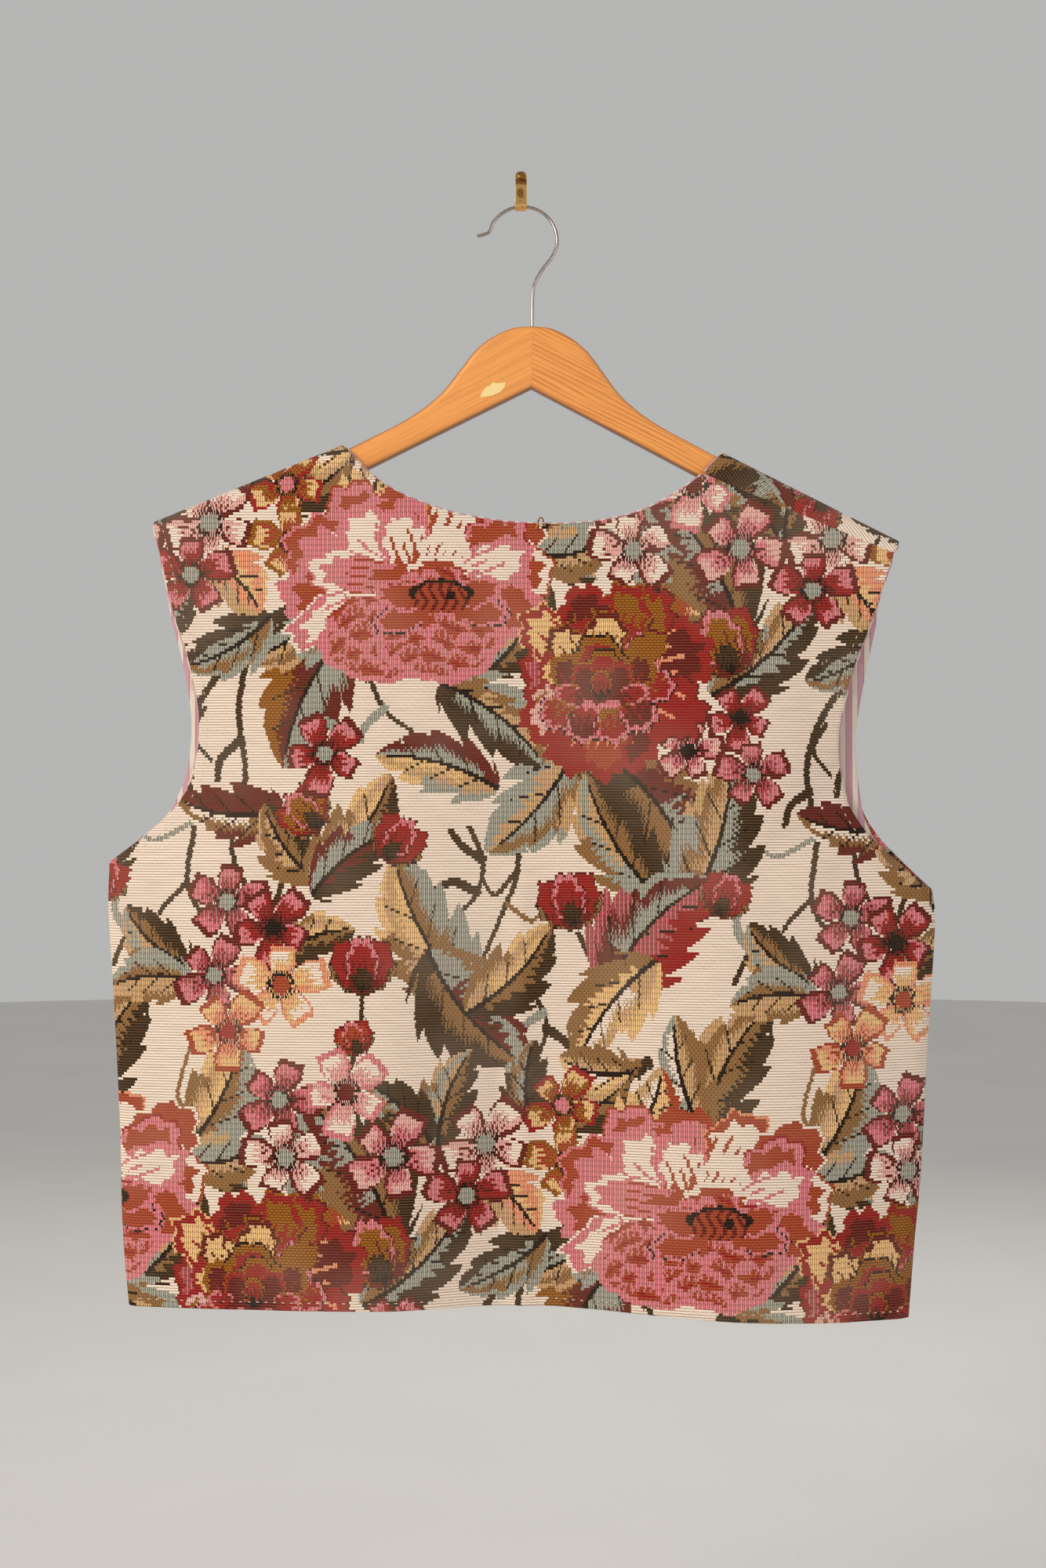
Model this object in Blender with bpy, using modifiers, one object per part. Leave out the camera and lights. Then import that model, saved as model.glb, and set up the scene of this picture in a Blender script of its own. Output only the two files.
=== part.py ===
"""A sleeveless tapestry waistcoat, hung on a wooden hanger from a brass wall hook.

Metres, +Z up. +X is right as one faces the waistcoat, whose back is the side that shows, and +Y goes
into the wall, whose face is Y = 0. The origin is on the back face of the wall hook.

Lengths in the constants and tables are millimetres, and to_metres turns them into metres where a mesh
is made. A panel is worked out in its flat cut, X across and H up, and then draped: below the hanger's
arms it hangs in front of them or behind them, and at the shoulders it rolls over them.
"""

import math
from collections import namedtuple

import bmesh
import bpy
import numpy as np
from mathutils import Vector

MILLIMETRE = 0.001
PART_NAME = "tapestry_waistcoat"

# Cloth
TAPESTRY = 1.4
LINING = 1.0
SEAM = 0.3

# Hanger
HANGER_X = 7.0
HANGER_TOP = -89.8
HANGER_Y = -13.0
HANGER_TILT = math.radians(0.8)
ARM_SLOPE = math.radians(27.1)
ARM_DEPTH = 17.6
ARM_THICK = 12.2
ARM_ROUND = 4.0
ARM_REACH = 224.5
NOTCH_DROP = 39.2
MITRE_GAP = 0.3

# Wire hook
WIRE = 2.3
WIRE_ARC = (1.0, -34.0)
WIRE_ARC_RADIUS = 21.8
WIRE_ARC_FROM, WIRE_ARC_TO = math.radians(-14), math.radians(150)
WIRE_BORE_DEPTH = 22.0
WIRE_CREST_Y = -5.3

# Brass wall hook
STRIP = 0.8
STRIP_WIDTH = 7.3
STRIP_TOP = 11.2
CRADLE_RADIUS = 4.9
CRADLE_Z = -9.75
LIP_TOP = 0.3
FLAP_FOOT = (-5.6, 5.4)
FLAP_TOP = (-2.6, 9.7)
PIN_HEAD = 5.8

# The cloth rolls over the arms on this radius, at the middle of the tapestry.
ROLL = 9.1
NEAR_Y = HANGER_Y - ROLL
FAR_Y = HANGER_Y + ROLL

# Crest of the cloth over each arm, where it starts at the neck and ends at the shoulder's tip.
Fold = namedtuple("Fold", "neck_x neck_z tip_x tip_z")
LEFT_FOLD = Fold(-115.5, -166.2, -229.3, -212.7)
RIGHT_FOLD = Fold(126.8, -169.8, 236.7, -225.0)
LEFT_NECK_FOOT = -113.0
RIGHT_NECK_FOOT = 122.0
RIGHT_TIP_FOOT = 236.5
# The right shoulder seam has slid down over the near side by this much at the neck and at the tip.
SEAM_DROP_NECK = 18.0
SEAM_DROP_TIP = 9.0

# The near edge of each armhole and side seam, from the shoulder down.
Edge = namedtuple("Edge", "left_x left_z right_x right_z")
ARMHOLE = [
    Edge(-225.6, -229.9, 226.6, -249.5),
    Edge(-216.8, -269.1, 218.0, -276.0),
    Edge(-207.5, -299.0, 206.8, -307.3),
    Edge(-201.2, -333.3, 198.8, -342.0),
    Edge(-203.1, -361.0, 199.7, -368.6),
    Edge(-209.5, -381.2, 205.5, -391.0),
    Edge(-221.5, -397.5, 217.5, -408.5),
    Edge(-236.5, -410.0, 236.5, -426.0),
    Edge(-258.3, -426.2, 258.3, -443.5),
]
SIDE_SEAM = [
    Edge(-259.0, -455.0, 259.8, -468.0),
    Edge(-255.5, -515.0, 255.0, -545.0),
    Edge(-251.8, -590.0, 251.0, -620.0),
    Edge(-250.0, -655.0, 246.8, -665.0),
    Edge(-246.0, -703.9, 243.1, -711.6),
]
# The front's armhole shows outside the back's by this much, halfway down.
FRONT_SHOWS_LEFT = 5.6
FRONT_SHOWS_RIGHT = 11.5

# The back's neckline between the shoulders, and the fronts' lower one.
Point = namedtuple("Point", "x z")
BACK_NECK = [
    Point(-95.5, -182.4),
    Point(-75.9, -195.6),
    Point(-46.4, -206.8),
    Point(-16.9, -212.6),
    Point(12.5, -214.8),
    Point(42.0, -213.9),
    Point(71.5, -208.0),
    Point(95.0, -196.8),
]
FRONT_NECK_POINTS = [Point(101.0, -199.0), Point(92.0, -214.0), Point(70.0, -236.0), Point(36.0, -251.0)]
FRONT_CENTRE_TOP = Point(2.0, -256.0)
FRONT_CENTRE_FOOT = Point(-2.0, -698.0)
HEM_RISE = 4.0
FRONT_HEM_SAG = 3.0

# How far the cloth stands from the wall, as Y, in sections from the shoulders to the hem. The back is
# drawn in along its middle between two soft lobes, and both sides close at the side seams.
LOBE_LEFT_X, VALLEY_X, LOBE_RIGHT_X = -92.0, 1.0, 138.0
FRONT_FULL_X = 125.0
Section = namedtuple("Section", "z seam lobe_left valley lobe_right front_seam front_full front_centre")
SECTIONS = [
    Section(-180.0, NEAR_Y, NEAR_Y, -21.5, NEAR_Y, FAR_Y, FAR_Y, -5.0),
    Section(-260.0, -21.0, -23.5, -21.0, -24.5, -4.2, -3.8, -5.0),
    Section(-340.0, -18.0, -26.0, -23.0, -28.5, -4.8, -3.6, -4.6),
    Section(-400.0, -14.0, -27.5, -23.5, -31.5, -6.8, -3.4, -4.2),
    Section(-435.0, -10.85, -26.0, -20.0, -30.5, -9.15, -5.9, -6.5),
    Section(-520.0, -10.85, -28.0, -16.0, -34.5, -9.15, -5.7, -6.3),
    Section(-620.0, -11.35, -30.0, -12.0, -38.5, -9.65, -5.5, -6.1),
    Section(-716.0, -12.35, -31.5, -10.0, -41.5, -10.65, -5.5, -5.9),
]
LEDGE = 14.0  # below the arms the cloth keeps to their plane for this far
LEDGE_BLEND = 70.0
SEAM_ROLL = 2.5  # below the armholes both sides roll off the side seam by this much more
SEAM_ROLL_WIDTH = 9.0
UNDERARM_Z = -430.0

# Grid of the panels: columns in millimetres from an edge, rows in millimetres from the shoulder.
SHOULDER_COLUMNS = [0, 6.5, 16, 34, 60, 88, 108]
BACK_WIDTH, BACK_NECK_LEFT, BACK_NECK_RIGHT = 485.0, 121.25, 363.75
BACK_NECK_COLUMNS = [0, 5, 10, 16, 27, 44, 66, 88, 110, 132, 154, 176, 199, 221]
FRONT_COLUMNS = [0, 6.5, 16, 34, 56, 80, 104, 128, 152, 176, 200, 224, 244]
ROWS = [0, 5, 10, 15, 26, 44, 66, 90, 115, 140, 164, 188, 212, 234, 262, 296, 330, 366, 402, 438, 470, 500]
WRAPPED_ROWS = [0, 4.5, 9, 13.5, 18, 22.5, 27, 32, 38, 50, 70, 94, 119, 144, 168, 191, 212, 234, 262, 298]
WRAPPED_ROWS += [334, 370, 406, 442, 472, 500]
NECK_SHARE = BACK_NECK_LEFT / BACK_WIDTH
LEFT_CENTRE_SHARE = 140 / 500  # the share of the rows that a front's neckline takes
RIGHT_CENTRE_SHARE = 191 / 500
UNDERARM_SHARE = 0.468
LINING_SIDE_INSET = 5.2
LINING_HEM_INSET = 4.0
LINING_EDGE_INSET = 0.4
MOST_INSET = 0.85  # of the first row or column
PROBE = 0.2  # how far apart points are taken to find a normal

# Brass wire loop at the back of the neck
LOOP_WIRE = 0.9
LOOP_X = 11.6


def to_metres(values):
    return np.array(values, float) * MILLIMETRE


def clear_scene():
    for old in list(bpy.data.objects):
        bpy.data.objects.remove(old, do_unlink=True)


def make_material(name, colour, roughness, metallic):
    material = bpy.data.materials.new(name)
    material.use_nodes = True
    shader = material.node_tree.nodes["Principled BSDF"]
    shader.inputs["Base Color"].default_value = (*colour, 1.0)
    shader.inputs["Roughness"].default_value = roughness
    shader.inputs["Metallic"].default_value = metallic
    return material


def add_object(collection, name, data, material):
    data.materials.append(material)
    obj = bpy.data.objects.new(name, data)
    collection.objects.link(obj)
    return obj


def smoothstep(value):
    t = min(1.0, max(0.0, value))
    return t * t * (3 - 2 * t)


def spline_through(points, steps=10):
    """Points along a smooth curve through the given ones."""
    p = np.array(points, float)
    p = np.vstack([2 * p[0] - p[1], p, 2 * p[-1] - p[-2]])
    line = []
    for a, b, c, d in zip(p[:-3], p[1:-2], p[2:-1], p[3:]):
        for k in range(steps):
            t = k / steps
            straight_on = 2 * b + (c - a) * t
            bend = (2 * a - 5 * b + 4 * c - d) * t**2 + (3 * b - a - 3 * c + d) * t**3
            line.append(0.5 * (straight_on + bend))
    line.append(p[-2])
    return np.array(line)


def lengths_along(line):
    return np.concatenate([[0.0], np.cumsum(np.linalg.norm(np.diff(line, axis=0), axis=1))])


def at_share(line, share):
    """The point at a share of a line's length."""
    run = lengths_along(line)
    return np.array([np.interp(share * run[-1], run, line[:, k]) for k in range(line.shape[1])])


def joined(first, second, first_share):
    """A curve of two lines that meet at a corner, as a function of a share from 0 to 1."""

    def point(share):
        if share <= first_share:
            return at_share(first, share / first_share)
        return at_share(second, (share - first_share) / (1 - first_share))

    return point


# The cloth over the arms


def fold_normal(fold):
    """The direction square to a shoulder's crest, up and out in the plane of the arms."""
    along = np.array([fold.tip_x - fold.neck_x, fold.tip_z - fold.neck_z])
    along /= np.linalg.norm(along)
    normal = np.array([-along[1], along[0]])
    return normal if normal[1] > 0 else -normal


def crest_point(fold, x):
    share = (x - fold.neck_x) / (fold.tip_x - fold.neck_x)
    return np.array([x, fold.neck_z + share * (fold.tip_z - fold.neck_z)])


def past_crest(fold, x, length):
    """The flat point of cloth that lies this length past the crest, or short of it where negative."""
    return crest_point(fold, x) + fold_normal(fold) * (math.pi * ROLL / 2 - ROLL + length)


def drape(flat, near, depth):
    """Where a point of the flat cut lies, with depth giving Y below the arms."""
    fold = LEFT_FOLD if flat[0] < 0 else RIGHT_FOLD
    normal = fold_normal(fold)
    rise = float(np.dot(flat - np.array([fold.neck_x, fold.neck_z]), normal)) + ROLL
    side = -1.0 if near else 1.0
    if rise <= 0:
        x, z = flat
        hang = smoothstep((-rise - LEDGE) / LEDGE_BLEND)
        plane = HANGER_Y + side * ROLL
        return np.array([x, plane + hang * (depth(x, z) - plane), z])
    if rise < math.pi * ROLL:
        height = ROLL * math.sin(rise / ROLL)
        y = HANGER_Y + side * ROLL * math.cos(rise / ROLL)
    else:
        height = math.pi * ROLL - rise
        y = HANGER_Y - side * ROLL
    x, z = flat - normal * (rise - height)
    return np.array([x, y, z])


# Outlines


def edge_line(rows, side, corner=None):
    """One side of a table of edges, from an optional first point."""
    points = [(getattr(row, side + "_x"), getattr(row, side + "_z")) for row in rows]
    return ([tuple(corner)] if corner is not None else []) + points


def front_armhole(side, shows):
    """The back's armhole moved outwards, most of all halfway down."""
    points = edge_line(ARMHOLE, side)
    top, foot = points[0][1], points[-1][1]
    sign = -1.0 if side == "left" else 1.0
    return [(x + sign * shows * math.sin(math.pi * min(1.0, (top - z) / (top - foot))), z) for x, z in points]


def side_curve(side, corner, armhole):
    arm = spline_through([tuple(corner)] + armhole)
    seam = spline_through(edge_line(SIDE_SEAM, side, armhole[-1]))
    return joined(arm, seam, UNDERARM_SHARE)


def straight(start, end):
    return np.array([start, end], float)


def hem_line(start, end, rise):
    """A hem that lifts a little between its ends."""
    shares = np.linspace(0, 1, 25)
    line = np.outer(1 - shares, start) + np.outer(shares, end)
    line[:, 1] += rise * np.sin(math.pi * shares)
    return line


def coons_grid(top, foot, left, right, columns, rows):
    """Flat points of a panel between its four edges."""
    us = np.array(columns, float) / columns[-1]
    vs = np.array(rows, float) / rows[-1]
    grid = np.zeros((len(vs), len(us), 2))
    for i, v in enumerate(vs):
        for j, u in enumerate(us):
            across = (1 - v) * top(u) + v * foot(u)
            down = (1 - u) * left(v) + u * right(v)
            corners = (1 - v) * ((1 - u) * top(0) + u * top(1)) + v * ((1 - u) * foot(0) + u * foot(1))
            grid[i, j] = across + down - corners
    return grid


# Depth of the cloth


def section_value(name, z):
    heights = [-row.z for row in SECTIONS]
    return float(np.interp(-z, heights, [getattr(row, name) for row in SECTIONS]))


def edge_x(points, z):
    """Where an edge is at a height; above and below its ends it keeps their X."""
    return float(np.interp(-z, [-p[1] for p in points], [p[0] for p in points]))


def seam_roll(x, z, left, right):
    """How far a side has rolled off the side seam, nothing at the armholes."""
    gap = max(0.0, min(x - left, right - x)) / SEAM_ROLL_WIDTH
    below = smoothstep((UNDERARM_Z + 20.0 - z) / 30.0)
    return SEAM_ROLL * below * (1 - (1 - min(1.0, gap)) ** 2)


def between(x, start, end, y_start, y_end, ease):
    t = min(1.0, max(0.0, (x - start) / (end - start)))
    return y_start + (y_end - y_start) * ease(t)


def soft(t):
    return 0.5 - 0.5 * math.cos(math.pi * t)


def rising(t):
    return math.sin(t * math.pi / 2)


def falling(t):
    return 1 - math.cos(t * math.pi / 2)


LEFT_NEAR = edge_line(ARMHOLE + SIDE_SEAM, "left")
RIGHT_NEAR = edge_line(ARMHOLE + SIDE_SEAM, "right")
LEFT_FAR = front_armhole("left", FRONT_SHOWS_LEFT) + edge_line(SIDE_SEAM, "left")
RIGHT_FAR = front_armhole("right", FRONT_SHOWS_RIGHT) + edge_line(SIDE_SEAM, "right")


def back_depth(x, z):
    left, right = edge_x(LEFT_NEAR, z), edge_x(RIGHT_NEAR, z)
    seam, valley = section_value("seam", z), section_value("valley", z)
    lobe_left, lobe_right = section_value("lobe_left", z), section_value("lobe_right", z)
    if x < LOBE_LEFT_X:
        y = between(x, left, LOBE_LEFT_X, seam, lobe_left, rising)
    elif x < VALLEY_X:
        y = between(x, LOBE_LEFT_X, VALLEY_X, lobe_left, valley, soft)
    elif x < LOBE_RIGHT_X:
        y = between(x, VALLEY_X, LOBE_RIGHT_X, valley, lobe_right, soft)
    else:
        y = between(x, LOBE_RIGHT_X, right, lobe_right, seam, falling)
    return y - seam_roll(x, z, left, right)


def front_depth(x, z):
    left, right = edge_x(LEFT_FAR, z), edge_x(RIGHT_FAR, z)
    seam, full = section_value("front_seam", z), section_value("front_full", z)
    centre = section_value("front_centre", z)
    if x < -FRONT_FULL_X:
        y = between(x, left, -FRONT_FULL_X, seam, full, rising)
    elif x < 0:
        y = between(x, -FRONT_FULL_X, 0.0, full, centre, soft)
    elif x < FRONT_FULL_X:
        y = between(x, 0.0, FRONT_FULL_X, centre, full, soft)
    else:
        y = between(x, FRONT_FULL_X, right, full, seam, falling)
    return y + seam_roll(x, z, left, right)


# Panels


def back_flat():
    """The back, cut in one piece."""
    tip_left = past_crest(LEFT_FOLD, LEFT_FOLD.tip_x, -SEAM / 2)
    neck_left = past_crest(LEFT_FOLD, LEFT_NECK_FOOT, -SEAM / 2)
    normal = fold_normal(RIGHT_FOLD)
    neck_right = crest_point(RIGHT_FOLD, RIGHT_NECK_FOOT) - normal * SEAM_DROP_NECK
    tip_right = crest_point(RIGHT_FOLD, RIGHT_TIP_FOOT) - normal * SEAM_DROP_TIP
    shoulder_left = straight(tip_left, neck_left)
    neckline = spline_through([tuple(neck_left)] + [tuple(p) for p in BACK_NECK] + [tuple(neck_right)])
    shoulder_right = straight(neck_right, tip_right)
    half = joined(neckline, shoulder_right, 1 - NECK_SHARE / (1 - NECK_SHARE))

    def top(u):
        if u <= NECK_SHARE:
            return at_share(shoulder_left, u / NECK_SHARE)
        return half((u - NECK_SHARE) / (1 - NECK_SHARE))

    left = side_curve("left", tip_left, edge_line(ARMHOLE, "left"))
    right = side_curve("right", tip_right, edge_line(ARMHOLE, "right"))
    hem = hem_line(left(1), right(1), HEM_RISE)
    columns = SHOULDER_COLUMNS + [BACK_NECK_LEFT + c for c in BACK_NECK_COLUMNS]
    columns += [BACK_NECK_RIGHT] + [BACK_WIDTH - c for c in reversed(SHOULDER_COLUMNS)]
    return coons_grid(top, lambda u: at_share(hem, u), left, right, columns, ROWS)


def front_left_flat():
    """The front at the photograph's left, behind the back."""
    tip = past_crest(LEFT_FOLD, LEFT_FOLD.tip_x, -SEAM / 2)
    neck = past_crest(LEFT_FOLD, LEFT_NECK_FOOT, -SEAM / 2)
    centre_top = np.array([FRONT_CENTRE_TOP.x - SEAM / 2, FRONT_CENTRE_TOP.z])
    centre_foot = np.array([FRONT_CENTRE_FOOT.x - SEAM / 2, FRONT_CENTRE_FOOT.z])
    behind = crest_point(LEFT_FOLD, LEFT_NECK_FOOT) - fold_normal(LEFT_FOLD) * ROLL
    scoop = [tuple(neck), tuple(behind)] + [(-p.x, p.z) for p in FRONT_NECK_POINTS] + [tuple(centre_top)]
    inner = joined(spline_through(scoop), straight(centre_top, centre_foot), LEFT_CENTRE_SHARE)
    outer = side_curve("left", tip, front_armhole("left", FRONT_SHOWS_LEFT))
    shoulder = straight(tip, neck)
    hem = hem_line(outer(1), centre_foot, FRONT_HEM_SAG)
    return coons_grid(
        lambda u: at_share(shoulder, u), lambda u: at_share(hem, u), outer, inner, FRONT_COLUMNS, ROWS
    )


def front_right_flat():
    """The front at the photograph's right, which comes over the shoulder to the seam on the near side."""
    over = math.pi * ROLL / 2 - ROLL - SEAM
    neck = past_crest(RIGHT_FOLD, RIGHT_NECK_FOOT, over + SEAM_DROP_NECK)
    tip = past_crest(RIGHT_FOLD, RIGHT_TIP_FOOT, over + SEAM_DROP_TIP)
    centre_top = np.array([FRONT_CENTRE_TOP.x + SEAM / 2, FRONT_CENTRE_TOP.z])
    centre_foot = np.array([FRONT_CENTRE_FOOT.x + SEAM / 2, FRONT_CENTRE_FOOT.z])
    crest = past_crest(RIGHT_FOLD, RIGHT_FOLD.neck_x, 0.0)
    behind = crest_point(RIGHT_FOLD, RIGHT_NECK_FOOT) - fold_normal(RIGHT_FOLD) * ROLL
    scoop = [tuple(neck), tuple(crest), tuple(behind)] + [tuple(p) for p in FRONT_NECK_POINTS]
    inner = joined(
        spline_through(scoop + [tuple(centre_top)]), straight(centre_top, centre_foot), RIGHT_CENTRE_SHARE
    )
    over_tip = tuple(crest_point(RIGHT_FOLD, RIGHT_FOLD.tip_x))
    outer = side_curve("right", tip, [over_tip] + front_armhole("right", FRONT_SHOWS_RIGHT))
    shoulder = straight(neck, tip)
    hem = hem_line(centre_foot, outer(1), FRONT_HEM_SAG)
    columns = [FRONT_COLUMNS[-1] - c for c in reversed(FRONT_COLUMNS)]
    return coons_grid(
        lambda u: at_share(shoulder, u), lambda u: at_share(hem, u), inner, outer, columns, WRAPPED_ROWS
    )


def draped(flat, near, depth):
    """The draped points of a flat cut, and the cloth's unit normals there, towards its face."""
    points = np.zeros((*flat.shape[:2], 3))
    normals = np.zeros_like(points)
    across, up = np.array([PROBE, 0.0]), np.array([0.0, PROBE])
    for i, j in np.ndindex(*flat.shape[:2]):
        at = flat[i, j]
        points[i, j] = drape(at, near, depth)
        right = drape(at + across, near, depth) - drape(at - across, near, depth)
        rise = drape(at + up, near, depth) - drape(at - up, near, depth)
        normal = np.cross(right, rise) if near else np.cross(rise, right)
        normals[i, j] = normal / np.linalg.norm(normal)
    return points, normals


def inset_edge(grid, inner, outer, shares):
    """Moves a row or column of a grid towards the next one in."""
    grid[outer] = grid[outer] + (grid[inner] - grid[outer]) * shares


def lining_points(points, normals, side_seams):
    """The tapestry's own points and normals, drawn in a little at every edge."""
    points, normals = points.copy(), normals.copy()
    whole = slice(None)
    edges = [((1, whole), (0, whole), LINING_EDGE_INSET), ((-2, whole), (-1, whole), LINING_HEM_INSET)]
    for column, following in ((0, 1), (-1, -2)):
        inset = LINING_SIDE_INSET if column in side_seams else LINING_EDGE_INSET
        edges.append(((whole, following), (whole, column), inset))
    for inner, outer, inset in edges:
        length = np.linalg.norm(points[inner] - points[outer], axis=-1, keepdims=True)
        shares = np.minimum(inset / length, MOST_INSET)
        inset_edge(points, inner, outer, shares)
        inset_edge(normals, inner, outer, shares)
    return points, normals


def shorter_diagonals(points):
    """Which way each cell is split, so that its two triangles follow the roll over the arms."""
    falling_way = np.linalg.norm(points[1:, 1:] - points[:-1, :-1], axis=2)
    rising_way = np.linalg.norm(points[:-1, 1:] - points[1:, :-1], axis=2)
    return falling_way <= rising_way


def wall_mesh(name, outer, inner, splits):
    """A closed cloth wall between two grids of points, its faces turned out."""
    rows, columns = outer.shape[:2]
    mesh = bmesh.new()
    front = [[mesh.verts.new(Vector(to_metres(p))) for p in row] for row in outer]
    back = [[mesh.verts.new(Vector(to_metres(p))) for p in row] for row in inner]
    for i in range(rows - 1):
        for j in range(columns - 1):
            corners = ((i, j), (i + 1, j), (i + 1, j + 1), (i, j + 1))
            for trio in ((0, 1, 2), (0, 2, 3)) if splits[i, j] else ((0, 1, 3), (1, 2, 3)):
                mesh.faces.new([front[corners[k][0]][corners[k][1]] for k in trio])
                mesh.faces.new([back[corners[k][0]][corners[k][1]] for k in reversed(trio)])
    rim = [(i, 0) for i in range(rows)] + [(rows - 1, j) for j in range(1, columns)]
    rim += [(i, columns - 1) for i in range(rows - 2, -1, -1)] + [(0, j) for j in range(columns - 2, 0, -1)]
    for (a, b), (c, d) in zip(rim, rim[1:] + rim[:1]):
        mesh.faces.new((front[c][d], front[a][b], back[a][b], back[c][d]))
    bmesh.ops.recalc_face_normals(mesh, faces=mesh.faces)
    data = bpy.data.meshes.new(name)
    mesh.to_mesh(data)
    mesh.free()
    data.shade_smooth()
    data.set_sharp_from_angle(angle=math.radians(50))
    return data


def add_panels(collection):
    tapestry = make_material("tapestry", (0.55, 0.36, 0.27), 0.9, 0.0)
    lining = make_material("striped_lining", (0.62, 0.48, 0.55), 0.75, 0.0)
    panels = (
        ("back", back_flat(), True, back_depth, (0, -1)),
        ("front_left", front_left_flat(), False, front_depth, (0,)),
        ("front_right", front_right_flat(), False, front_depth, (-1,)),
    )
    inside = TAPESTRY / 2
    for name, flat, near, depth, side_seams in panels:
        points, normals = draped(flat, near, depth)
        splits = shorter_diagonals(points)
        face = wall_mesh(name, points + normals * inside, points - normals * inside, splits)
        add_object(collection, name, face, tapestry)
        points, normals = lining_points(points, normals, side_seams)
        start, end = inside + SEAM, inside + SEAM + LINING
        wall = wall_mesh(name + "_lining", points - normals * start, points - normals * end, splits)
        add_object(collection, name + "_lining", wall, lining)


# Hanger


def hanger_outline():
    """Half the hanger's outline from its apex out, as distance from the middle and height."""
    hump = [(0, 0), (8, -0.4), (15, -2.2), (25, -7.2), (35, -15.3), (45, -28.2)]
    hump += [(55, -41.4), (65, -50.5), (75, -57.7), (85, -63.7)]
    slope = math.tan(ARM_SLOPE)
    fall = ARM_DEPTH / math.cos(ARM_SLOPE)
    foot = -NOTCH_DROP - slope * ARM_REACH
    end = [(ARM_REACH - 1.5, foot + fall), (ARM_REACH + 2.0, foot + fall * 0.72)]
    end += [(ARM_REACH + 2.0, foot + fall * 0.3), (ARM_REACH - 2.5, foot + slope * 2.5)]
    return hump + end + [(0, -NOTCH_DROP)]


def hanger_place(distance, height):
    """A point of the hanger's plane in the part's frame, tilted as it hangs."""
    x = HANGER_X + distance * math.cos(HANGER_TILT) + height * math.sin(HANGER_TILT)
    z = HANGER_TOP + height * math.cos(HANGER_TILT) - distance * math.sin(HANGER_TILT)
    return x, z


def hanger_blank(collection, material):
    """The whole hanger as one rounded board, before it is parted at the mitre."""
    half = hanger_outline()
    outline = half + [(-d, h) for d, h in reversed(half[1:-1])]
    curve = bpy.data.curves.new("hanger_blank", "CURVE")
    curve.dimensions = "2D"
    curve.fill_mode = "BOTH"
    curve.extrude = (ARM_THICK / 2 - ARM_ROUND) * MILLIMETRE
    curve.bevel_depth = ARM_ROUND * MILLIMETRE
    curve.bevel_resolution = 2
    curve.offset = -ARM_ROUND * MILLIMETRE
    spline = curve.splines.new("POLY")
    spline.points.add(len(outline) - 1)
    for point, (distance, height) in zip(spline.points, outline):
        x, z = hanger_place(distance, height)
        point.co = (x * MILLIMETRE, z * MILLIMETRE, 0.0, 1.0)
    spline.use_cyclic_u = True
    flat = bpy.data.objects.new("hanger_blank", curve)
    collection.objects.link(flat)
    flat.rotation_euler = (math.pi / 2, 0.0, 0.0)
    flat.location = (0.0, HANGER_Y * MILLIMETRE, 0.0)
    bpy.context.view_layer.update()
    graph = bpy.context.evaluated_depsgraph_get()
    data = bpy.data.meshes.new_from_object(flat.evaluated_get(graph))
    data.transform(flat.matrix_world)
    bpy.data.objects.remove(flat)
    return data


def add_hanger(collection, cutters):
    wood = make_material("pale_wood", (0.72, 0.42, 0.19), 0.5, 0.0)
    blank = hanger_blank(collection, wood)
    bore = add_bore(cutters)
    for name, side in (("hanger_arm_left", -1.0), ("hanger_arm_right", 1.0)):
        mesh = bmesh.new()
        mesh.from_mesh(blank)
        bmesh.ops.remove_doubles(mesh, verts=mesh.verts, dist=0.00002)
        mitre = Vector(to_metres((HANGER_X + side * MITRE_GAP / 2, HANGER_Y, HANGER_TOP)))
        everything = mesh.verts[:] + mesh.edges[:] + mesh.faces[:]
        cut = bmesh.ops.bisect_plane(
            mesh, geom=everything, plane_co=mitre, plane_no=(-side, 0, 0), clear_outer=True
        )
        rim = [item for item in cut["geom_cut"] if isinstance(item, bmesh.types.BMEdge)]
        bmesh.ops.edgenet_fill(mesh, edges=rim)
        bmesh.ops.recalc_face_normals(mesh, faces=mesh.faces)
        data = bpy.data.meshes.new(name)
        mesh.to_mesh(data)
        mesh.free()
        data.shade_smooth()
        data.set_sharp_from_angle(angle=math.radians(35))
        arm = add_object(collection, name, data, wood)
        drill = arm.modifiers.new("Bore", "BOOLEAN")
        drill.object = bore
        drill.operation = "DIFFERENCE"


def add_bore(cutters):
    """The hole in the mitre that takes the hook's shank."""
    mesh = bmesh.new()
    radius = (WIRE / 2 + SEAM) * MILLIMETRE
    depth = (WIRE_BORE_DEPTH + 10.0) * MILLIMETRE
    bmesh.ops.create_cone(mesh, cap_ends=True, segments=12, radius1=radius, radius2=radius, depth=depth)
    data = bpy.data.meshes.new("shank_bore")
    mesh.to_mesh(data)
    mesh.free()
    bore = bpy.data.objects.new("shank_bore", data)
    middle = HANGER_TOP + 5.0 - WIRE_BORE_DEPTH / 2
    bore.location = to_metres((HANGER_X, HANGER_Y, middle))
    bore.hide_render = True
    bore.display_type = "WIRE"
    cutters.objects.link(bore)
    return bore


# Wires


def add_wire(collection, name, points, diameter, material):
    """A round wire along a smooth line through the points."""
    curve = bpy.data.curves.new(name, "CURVE")
    curve.dimensions = "3D"
    curve.bevel_depth = diameter / 2 * MILLIMETRE
    curve.bevel_resolution = 2
    curve.use_fill_caps = True
    spline = curve.splines.new("POLY")
    spline.points.add(len(points) - 1)
    for point, place in zip(spline.points, to_metres(points)):
        point.co = (*place, 1.0)
    return add_object(collection, name, curve, material)


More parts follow.
